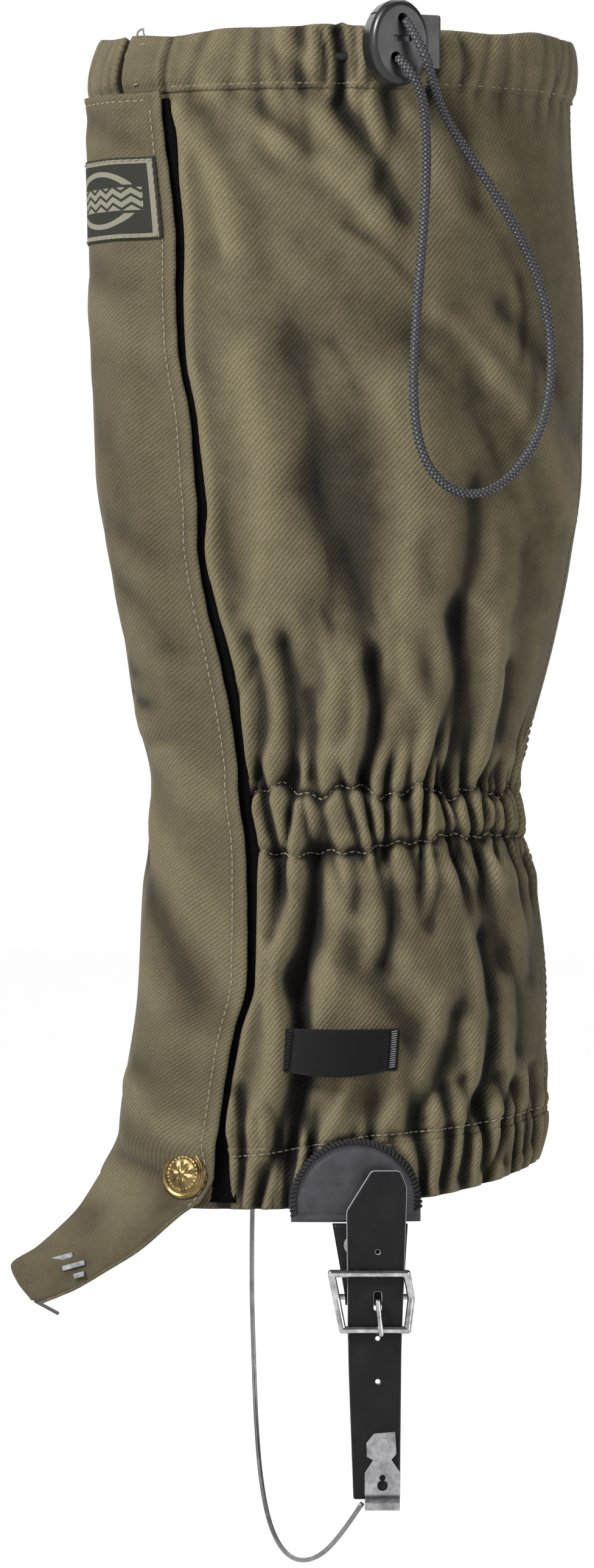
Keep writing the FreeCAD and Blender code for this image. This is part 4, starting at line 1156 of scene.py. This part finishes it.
class GaiterHems(bpy.types.Operator):
    """Fold the top and lower hems"""
    bl_idname = "gaiter.hems"
    bl_label = "Hems"

    def execute(self, context):
        sizes = context.scene.gaiter_sizes
        height, angle = leg_grid(TOP_SEAM - 0.5, TOP_EDGE, 31.6, 388.4, sizes.cell)
        share = (height - TOP_SEAM) / (TOP_EDGE - TOP_SEAM)
        puff = 1.0 + 1.6 * np.sin(np.clip(share, 0, 1) * math.pi) ** 0.7
        puff = puff - 0.7 * bump_at(height, TOP_SEAM + 1.2, 1.2)
        field = displace(height, angle)
        points = self.rim(height, angle, field + puff)
        piece = thick_grid("top_hem_cloth", points, 2.6, SKIN["twill"], leg_uv(height, angle),
                           shadow_of(field, height) + 0.4, outwards=outwards_of(height, angle))
        settle(piece, "gaiter", "twill", "top_hem")
        height, angle = leg_grid(0.0, LOW_SEAM + 0.5, 36.0, 384.0, sizes.cell)
        share = height / LOW_SEAM
        puff = 0.5 + 1.0 * np.sin(np.clip(share, 0, 1) * math.pi) ** 0.6
        field = displace(height, angle)
        points = leg_point(height, angle, field + puff)
        piece = thick_grid("lower_hem_cloth", points, 2.4, SKIN["twill"], leg_uv(height, angle),
                           shadow_of(field, height), outwards=outwards_of(height, angle))
        settle(piece, "gaiter", "twill", "lower_hem")
        return {"FINISHED"}

    @staticmethod
    def rim(height, angle, offset):
        """The top edge waves a little."""
        points = leg_point(height, angle, offset)
        lift = 0.9 * np.sin(np.radians(angle) * 5.0 + 0.7) + 0.5 * np.sin(np.radians(angle) * 13.0)
        points[..., 2] += lift * ease(TOP_SEAM, TOP_EDGE, height)
        return points


class GaiterElastics(bpy.types.Operator):
    """Lay the elastics and the ankle's casing tape inside"""
    bl_idname = "gaiter.elastics"
    bl_label = "Elastics"

    def execute(self, context):
        bands = (("ankle_elastic_band", "ankle_elastic", ANKLE_LOW, ANKLE_HIGH, -1.3, 0.9, "elastic"),
                 ("ankle_tape_band", "ankle_tape", ANKLE_LOW - 3.0, ANKLE_HIGH + 3.0, -2.3, 0.6, "webbing"),
                 ("hem_elastic_band", "hem_elastic", 4.0, 19.0, -0.4, 0.7, "elastic"))
        for name, node, low, high, offset, thick, slot in bands:
            height, angle = leg_grid(low, high, 41.0, 379.0, 2.0)
            points = cloth_point(height, angle, offset)
            piece = thick_grid(name, points, thick, SKIN[slot], leg_uv(height, angle),
                               outwards=outwards_of(height, angle))
            settle(piece, "gaiter", slot, node)
        return {"FINISHED"}


class GaiterZip(bpy.types.Operator):
    """Lay the zip's tapes and coils"""
    bl_idname = "gaiter.zip"
    bl_label = "Zip"

    def execute(self, context):
        for side, word in ((-1.0, "front"), (1.0, "back")):
            heights = spans(8.0, 405.5, 2.0)
            across = np.linspace(0.9, 12.9, 13) * side
            height, distance = crossed(heights, across)
            sink = -0.25 - 2.2 * ease(7.2, 9.6, abs(distance))
            points = leg_point(height, self.turn(height, distance), sink)
            piece = thick_grid("zip_tape_" + word + "_woven", points, 0.7, SKIN["zip_tape"],
                               np.stack([distance, height], axis=-1), outwards=outwards_of(height, 30.0))
            settle(piece, "gaiter", "zip_tape", "zip_tape_" + word)
            places = np.arange(13.0, 397.5, 1.55) + (0.0 if side < 0 else 0.78)
            starts = leg_point(places, self.turn(places, -0.5 * side), -0.5)
            ends = leg_point(places + 0.25, self.turn(places, 2.7 * side), -0.5)
            ups = outwards_of(places, np.full(len(places), ZIP_ANGLE))
            coil = capsules("zip_coil_" + word + "_turns", starts, ends, 0.62, SKIN["coil"], ups, sides=8)
            settle(coil, "gaiter", "zip_coil", "zip_coil_" + word)
        for name in ("zip_slider", "zip_pull", "zip_top_stops"):
            node_skin(name, SKIN["zip_metal"])
        node_skin("zip_bottom_stop", SKIN["coil"])
        return {"FINISHED"}

    @staticmethod
    def turn(height, distance):
        """The angle that lies this far round from the zip's middle."""
        front, back, depth, _ = smooth_table(PROFILE, height)
        speed = np.hypot((back - front) / 2.0 * math.sin(math.radians(ZIP_ANGLE)),
                         depth * math.cos(math.radians(ZIP_ANGLE)))
        return ZIP_ANGLE + np.degrees(distance / speed)


class GaiterFlap(bpy.types.Operator):
    """Sew the storm flap with its tongue, strips and label"""
    bl_idname = "gaiter.flap"
    bl_label = "Storm flap"

    def execute(self, context):
        sizes = context.scene.gaiter_sizes
        heights = spans(-35.0, TOP_SEAM - 0.6, sizes.cell)
        shares = np.linspace(0.0, 1.0, 46)
        height, share = crossed(heights, shares)
        edge = 0.35 * ease(0.93, 1.0, share) - 0.4 * bump_at(share, FLAP_EDGE_STITCH, 0.012)
        edge = edge + 0.35 * ease(399.0, 404.0, height) - 0.4 * bump_at(height, FLAP_TOP_STITCH, 0.8)
        creases = fold_field(-70.0 + 34.0 * share, height, FLAP_FOLDS)
        points = flap_point(height, share, FLAP_THICK + edge)
        # painted light and shade: this value darkens the flap's creases and stitch grooves and lightens its
        # raised edges
        piece = thick_grid("storm_flap_cloth", points, FLAP_THICK, SKIN["flap"],
                           np.stack([share * 62.0, height], axis=-1), creases * 2.2 + edge * 2.0 + 0.2,
                           outwards=FLAP_OUTWARDS)
        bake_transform(piece)
        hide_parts("storm_flap")
        self.strips()
        self.label()
        return {"FINISHED"}

    @staticmethod
    def strips():
        """Hook strip inside the flap, loop strip on the body."""
        height, share = crossed(spans(34.0, 402.0, 1.5), np.linspace(0.83, 0.985, 8))
        points = flap_point(height, share, -0.05)
        piece = thick_grid("flap_hook_tape", points, 0.85, SKIN["fuzz"],
                           np.stack([share * 40, height], axis=-1), outwards=FLAP_OUTWARDS)
        settle(piece, "flap", "hook_loop", "flap_hook_strip")
        height, share = crossed(spans(2.5, 403.0, 1.5), np.linspace(0.0, 1.0, 18))
        start = -8.0 + 5.0 * ease(30.0, 22.0, height)
        angle = flap_edge_angle(height) + start + (strip_shows(height) + 1.2 - start) * share
        points = leg_point(height, angle, 0.95 + 0.1 * np.sin(height * 2.1 + angle * 5.0))
        piece = thick_grid("body_loop_tape", points, 0.85, SKIN["fuzz"], leg_uv(height, angle),
                           outwards=outwards_of(height, angle))
        settle(piece, "gaiter", "hook_loop", "body_loop_strip")

    @staticmethod
    def label():
        height, share = crossed(spans(352.0, 382.0, 1.0), np.linspace(0.12, 0.93, 34))
        points = flap_point(height, share, LABEL_LIFT)
        wide = (share - 0.525) / 0.81 * LABEL_SIZE[0]
        piece = thick_grid("woven_label_patch", points, 0.5, SKIN["label"],
                           np.stack([wide, height - 367.0], axis=-1),
                           outwards=FLAP_OUTWARDS)
        settle(piece, "flap", "label", "flap_label")


class GaiterStitching(bpy.types.Operator):
    """Run the topstitching"""
    bl_idname = "gaiter.stitching"
    bl_label = "Stitching"

    def execute(self, context):
        sizes = context.scene.gaiter_sizes

        def on_top_hem(height, angle, offset):
            return cloth_point(height, angle, 0.45 + offset)

        def on_low_hem(height, angle, offset):
            return cloth_point(height, angle, 0.9 * ease(LOW_SEAM + 0.6, LOW_SEAM - 1.0, height) + offset)
        rings = (("top_hem_stitching", on_top_hem, TOP_SEAM + 1.2, None),
                 ("ankle_high_stitching", cloth_point, ANKLE_HIGH, ankle_high_level),
                 ("ankle_low_stitching", cloth_point, ANKLE_LOW, ankle_low_level),
                 ("lower_hem_stitching", on_low_hem, LOW_SEAM, hem_seam_level))
        for name, surface, level, wander in rings:
            first = float(flap_edge_angle(level) + strip_shows(level)) + 2.0
            turns = np.linspace(first, 378.0, 900)
            levels = np.full(len(turns), level) if wander is None else wander(turns)
            path = np.stack([levels, turns], axis=-1)
            piece = stitch_line(name, surface, path, SKIN["thread"], sizes)
            settle(piece, "gaiter", "twill")
        bars = np.arange(408.5, 425.0, 2.1)
        ups = cloth_point(bars, 37.0, 3.0) - cloth_point(bars, 37.0, 2.0)
        tacks = capsules("hem_end_bar_tacks", cloth_point(bars, 36.4, 1.7),
                         cloth_point(bars + 0.5, 38.2, 1.8),
                         0.34, SKIN["thread"], ups)
        settle(tacks, "gaiter", "twill")
        turns = np.linspace(0.0, 1.0, 24)
        arc = leg_point(426.0 + 3.4 * np.sin(math.pi * turns), 33.6 + 3.8 * turns,
                        0.8 + 0.6 * np.sin(9.0 * turns))
        settle(tube_mesh("hem_end_thread_loop", arc, 0.36, SKIN["thread"], 8), "gaiter", "twill")
        heights = np.linspace(24.0, 405.0, 500)
        for name, angle in (("back_seam_stitching", 176.0), ("back_seam_stitching_second", 184.0)):
            path = np.stack([heights, np.full(len(heights), angle)], axis=-1)
            settle(stitch_line(name, cloth_point, path, SKIN["thread"], sizes), "gaiter", "twill")

        def on_flap(height, share, offset):
            return flap_point(height, share, FLAP_THICK - 0.35 + offset)
        heights = np.linspace(1.0, 402.0, 600)
        path = np.stack([heights, np.full(len(heights), FLAP_EDGE_STITCH)], axis=-1)
        settle(stitch_line("flap_edge_stitching", on_flap, path, SKIN["thread"], sizes), "flap", "twill")
        path = [(FLAP_TOP_STITCH, s) for s in np.linspace(0.24, 0.92, 40)]
        settle(stitch_line("flap_top_stitching", on_flap, path, SKIN["thread"], sizes), "flap", "twill")

        def on_label(height, share, offset):
            return flap_point(height, share, LABEL_LIFT + offset)
        corners = ((353.0, 0.145), (353.0, 0.905), (381.0, 0.905), (381.0, 0.145), (353.0, 0.145))
        path = []
        for (h0, s0), (h1, s1) in zip(corners, corners[1:]):
            path += [(h0 + (h1 - h0) * t, s0 + (s1 - s0) * t) for t in np.linspace(0, 1, 30)]
        settle(stitch_line("label_stitching", on_label, path, SKIN["thread"], sizes, 0.0), "flap", "label")
        return {"FINISHED"}


class GaiterSnap(bpy.types.Operator):
    """Press the snap's cap, with its embossed ring and rosette"""
    bl_idname = "gaiter.snap"
    bl_label = "Snap"

    def execute(self, context):
        low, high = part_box("snap_cap")
        centre = np.array((low + high) / 2.0) / MM
        out = np.array((-0.481, -0.863, 0.154))
        out /= np.linalg.norm(out)
        side = np.cross(out, (0.0, 0.0, 1.0))
        side /= np.linalg.norm(side)
        up = np.cross(side, out)
        rings = np.concatenate([np.linspace(0.0, SNAP_RADIUS, 44), [SNAP_RADIUS, 8.6]])
        turns = np.linspace(0.0, 2.0 * math.pi, 97)[:-1]
        radius, turn = crossed(rings, turns)
        lift = 0.4 + 1.5 * (1.0 - (radius / SNAP_RADIUS) ** 2) ** 0.6
        lift = lift + 0.32 * bump_at(radius, 8.3, 0.45) - 0.30 * bump_at(radius, 7.2, 0.35)
        lift = lift + 0.34 * bump_at(radius, 6.1, 0.5) * (0.55 + 0.45 * np.cos(turn * 26.0))
        petals = 0.5 + 0.5 * np.cos(turn * 7.0)
        lift = lift + 0.42 * petals * bump_at(radius, 3.2, 1.5) + 0.35 * bump_at(radius, 0.0, 1.1)
        lift[-2, :] = 0.0
        lift[-1, :] = -0.6
        spoke = np.cos(turn)[..., None] * side + np.sin(turn)[..., None] * up
        points = centre - out * 1.35 + radius[..., None] * spoke + lift[..., None] * out
        rows, columns = radius.shape
        vertices = points.reshape(-1, 3)
        faces = []
        for i in range(rows - 1):
            for j in range(columns):
                k = (j + 1) % columns
                faces.append((i * columns + j, (i + 1) * columns + j, (i + 1) * columns + k, i * columns + k))
        faces.append(tuple(range((rows - 1) * columns, rows * columns))[::-1])
        piece = new_object("snap_cap_embossed", vertices, faces, SKIN["brass"])
        settle(piece, "flap", "brass", "snap_cap")
        for name in ("snap_socket", "snap_stud", "snap_post", "hem_eyelets"):
            node_skin(name, SKIN["brass"])
        for name in ("lace_hook_prongs", "cord_lock_spring", "strap_rivet", "clip_rivet",
                     "end_clip", "wire_ferrule"):
            node_skin(name, SKIN["steel"])
        # painted shade: the lace hook takes the darkened steel because it lies in shade
        node_skin("lace_hook", SKIN["dull_steel"])
        return {"FINISHED"}


class GaiterCordLock(bpy.types.Operator):
    """Finish the cord lock and hang the drawcord's loop"""
    bl_idname = "gaiter.cord_lock"
    bl_label = "Cord lock and loop"

    def execute(self, context):
        node_skin("cord_lock_body", SKIN["plastic"])
        node_skin("cord_lock_button", SKIN["plastic"])
        node_skin("hem_drawcord", SKIN["cord"])
        line = resample(nurbs_line(LOOP_ROUTE), 0.45)

        def braid(u, v):
            left = np.sin(v * 4.0 + u * 1.9)
            right = np.sin(v * 4.0 - u * 1.9)
            return 1.0 + 0.045 * np.maximum(left, right)
        piece = tube_mesh("drawcord_loop_braid", line, 1.62, SKIN["cord"], 20, braid)
        settle(piece, "gaiter", "cord", "drawcord_loop")
        return {"FINISHED"}


class GaiterStirrup(bpy.types.Operator):
    """Make the leather patches, straps, buckle and wire"""
    bl_idname = "gaiter.stirrup"
    bl_label = "Under-foot stirrup"

    def execute(self, context):
        self.patch("outer_patch_leather", "outer_patch", OUTER_PATCH_X, -1.0)
        self.patch("inner_patch_leather", "inner_patch", INNER_PATCH_X, 1.0)
        self.lower_strap()
        self.upper_strap()
        node_skin("buckle_frame", SKIN["chrome"])
        node_skin("buckle_prong", SKIN["chrome"])
        line = resample(nurbs_line(WIRE_ROUTE), 1.2)
        wire = tube_mesh("foot_wire_round", line, 0.9, SKIN["wire"], 14)
        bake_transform(wire)
        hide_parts("foot_wire")
        return {"FINISHED"}

    @staticmethod
    def patch(name, node, centre, side):
        """A half-moon of leather over the hem, with whip stitching round its arc."""
        def drape(x, z, offset):
            height = np.clip(z - 9.0, 0.0, 40.0)
            front, back, depth, _ = smooth_table(PROFILE, height)
            middle = (front + back) / 2.0
            width = (back - front) / 2.0
            reach = np.sqrt(np.maximum(1.0 - ((x - middle) / width) ** 2, 0.01))
            return np.stack([x, side * (depth * reach + offset), z], axis=-1)
        steps = np.linspace(-4.0, 25.9, 46)
        shares = np.linspace(-1.0, 1.0, 56)
        z, share = crossed(steps, shares)
        half = np.sqrt(np.maximum(PATCH_RADIUS ** 2 - np.maximum(z - PATCH_MIDDLE, 0.0) ** 2, 0.2))
        x = centre + share * half
        near = PATCH_RADIUS - np.hypot(x - centre, np.maximum(z - PATCH_MIDDLE, 0.0))
        near = np.minimum(near, z + 4.6)
        pad = 3.1 - 1.0 * np.exp(-near / 0.8) - 0.5 * bump_at(near, 3.0, 0.9) + 0.3 * ease(3.0, 9.0, near)
        points = drape(x, z, pad)
        piece = thick_grid(name, points, 2.0, SKIN["patch"], np.stack([x, z], axis=-1),
                           outwards=(0.0, side, 0.0))
        settle(piece, "gaiter", "leather", node)
        turn = np.radians(np.arange(-6.0, 187.0, 4.1))

        def on_arc(turn, radius, offset):
            return drape(centre + np.cos(turn) * radius, PATCH_MIDDLE + np.sin(turn) * radius, offset)
        starts = on_arc(turn, PATCH_RADIUS - 2.1, 3.0)
        ends = on_arc(turn + 0.075, PATCH_RADIUS + 0.5, 1.9)
        ups = np.broadcast_to(np.array([0.0, side, 0.0]), starts.shape)
        whip = capsules(name + "_whip_stitching", starts, ends, 0.74, SKIN["dark_thread"], ups, 8)
        settle(whip, "gaiter", "leather")

    @staticmethod
    def lower_strap():
        """The adjustable strap, dark faced with pale cut edges."""
        corners = ((2.0, 0.5), (11.0, 15.0), (21.5, 15.0), (23.9, 9.0), (23.5, -4.0), (21.9, -50.0),
                   (21.4, -103.5), (4.4, -103.5), (2.6, -55.0))
        outline = rounded(corners, (1.2, 1.2, 1.6, 1.5, 4.0, 6.0, 1.0, 1.0, 8.0))
        holes = [circle(13.3, z, 0.8) for z in (-14.3, -45.5, -61.0)]
        holes.append(rounded(((11.9, -35.4), (14.7, -35.4), (14.7, -28.6), (11.9, -28.6)), (1.0,) * 4))
        strap = cut_plate("lower_strap_leather", outline, holes, 2.6, 0.7, SKIN["leather"],
                          SKIN["leather_edge"])
        strap.location = (0.0, -0.0547, 0.0)
        settle(strap, "stirrup", "leather", "lower_strap")

    @staticmethod
    def upper_strap():
        """A strap folded round the buckle's centre bar: down in front, round, and up behind."""
        depth = -49.6
        bar = -31.0
        top = -4.6
        radius = 2.2
        path = [(depth - radius, z) for z in np.linspace(top, bar, 20)]
        path += [(depth - radius * math.cos(a), bar - radius * math.sin(a))
                 for a in np.linspace(0.2, math.pi, 12)]
        path += [(depth + radius, z) for z in np.linspace(bar + 1.0, top, 20)]
        path = np.array(path)
        low = np.interp(path[:, 1], (bar - 3, bar, top), (1.6, 1.6, -3.0))
        high = np.interp(path[:, 1], (bar - 3, bar, top), (22.6, 22.6, 24.2))
        shares = np.linspace(0.0, 1.0, 22)
        x = low[:, None] + (high - low)[:, None] * shares[None, :]
        edge = 0.35 * np.exp(-np.minimum(shares, 1 - shares) * 26.0)[None, :]
        y = np.broadcast_to(path[:, 0][:, None], x.shape)
        z = np.broadcast_to(path[:, 1][:, None], x.shape)
        points = np.stack([x, y, z], axis=-1)
        normal = grid_normals(points)
        if normal[2, 5, 1] > 0:
            normal = -normal
        points = points + normal * (1.0 - edge[..., None])
        strap = thick_grid("upper_strap_leather", points, 2.0, SKIN["leather"], np.stack([x, z], axis=-1),
                           outwards=normal)
        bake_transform(strap)
        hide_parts("upper_strap")


class GaiterKeeper(bpy.types.Operator):
    """Tack the webbing keeper above the patch"""
    bl_idname = "gaiter.keeper"
    bl_label = "Webbing keeper"

    def execute(self, context):
        height, angle = crossed(np.linspace(KEEPER_LOW, KEEPER_HIGH, 22),
                                np.linspace(KEEPER_START - 3.0, KEEPER_END + 3.0, 60))
        share = np.clip((angle - KEEPER_START) / (KEEPER_END - KEEPER_START), 0.0, 1.0)
        lift = 7.0 * np.sin(math.pi * share) ** 0.7
        edge = 0.3 * np.exp(-np.minimum(height - KEEPER_LOW, KEEPER_HIGH - height) / 0.5)
        flat = leg_point(height, angle)
        sag = -1.6 * np.sin(math.pi * share) * ease(KEEPER_HIGH, KEEPER_LOW, height)
        points = leg_point(height + sag, angle, 1.5 + lift - edge)
        uv = np.stack([flat[..., 0], flat[..., 2]], axis=-1)
        piece = thick_grid("webbing_keeper_band", points, 1.3, SKIN["webbing"], uv,
                           outwards=outwards_of(height, angle))
        settle(piece, "gaiter", "webbing", "webbing_keeper", "keeper_tacks")
        starts = []
        ends = []
        ups = []
        for centre in (KEEPER_START - 1.4, KEEPER_END + 1.4):
            for level in np.linspace(51.4, 64.6, 17):
                starts.append(leg_point(level, centre - 0.9, 1.65))
                ends.append(leg_point(level + 0.5, centre + 0.9, 1.65))
                ups.append(outwards_of(level, centre))
        half = len(starts) // 2
        # painted shade: the front tack, which sits in a shaded fold, takes the black thread; the back tack
        # takes grey thread
        for word, first, thread in (("front", 0, "dark_thread"), ("back", half, "grey_thread")):
            some = slice(first, first + half)
            tacks = capsules("keeper_tack_" + word, starts[some], ends[some], 0.26, SKIN[thread], ups[some])
            settle(tacks, "gaiter", "webbing")
        return {"FINISHED"}


OPERATORS = (GaiterStage, GaiterPanels, GaiterHems, GaiterElastics, GaiterZip, GaiterFlap, GaiterStitching,
             GaiterSnap, GaiterCordLock, GaiterStirrup, GaiterKeeper)


class GaiterSidebar(bpy.types.Panel):
    """The gaiter's sizes, colours and pieces"""
    bl_idname = "GAITER_PT_sidebar"
    bl_label = "Gaiter"
    bl_space_type = "VIEW_3D"
    bl_region_type = "UI"
    bl_category = "Gaiter"

    def draw(self, context):
        for group in (context.scene.gaiter_sizes, context.scene.gaiter_colours):
            for name in group.__annotations__:
                self.layout.prop(group, name)
        for operator in OPERATORS:
            self.layout.operator(operator.bl_idname)


CLASSES = (GaiterSizes, GaiterColours) + OPERATORS + (GaiterSidebar,)


def register():
    for item in CLASSES:
        bpy.utils.register_class(item)
    bpy.types.Scene.gaiter_sizes = bpy.props.PointerProperty(type=GaiterSizes)
    bpy.types.Scene.gaiter_colours = bpy.props.PointerProperty(type=GaiterColours)


def unregister():
    del bpy.types.Scene.gaiter_colours
    del bpy.types.Scene.gaiter_sizes
    for item in reversed(CLASSES):
        bpy.utils.unregister_class(item)


def main():
    register()
    for operator in OPERATORS:
        getattr(bpy.ops.gaiter, operator.bl_idname.split(".")[1])()


if __name__ == "__main__":
    main()
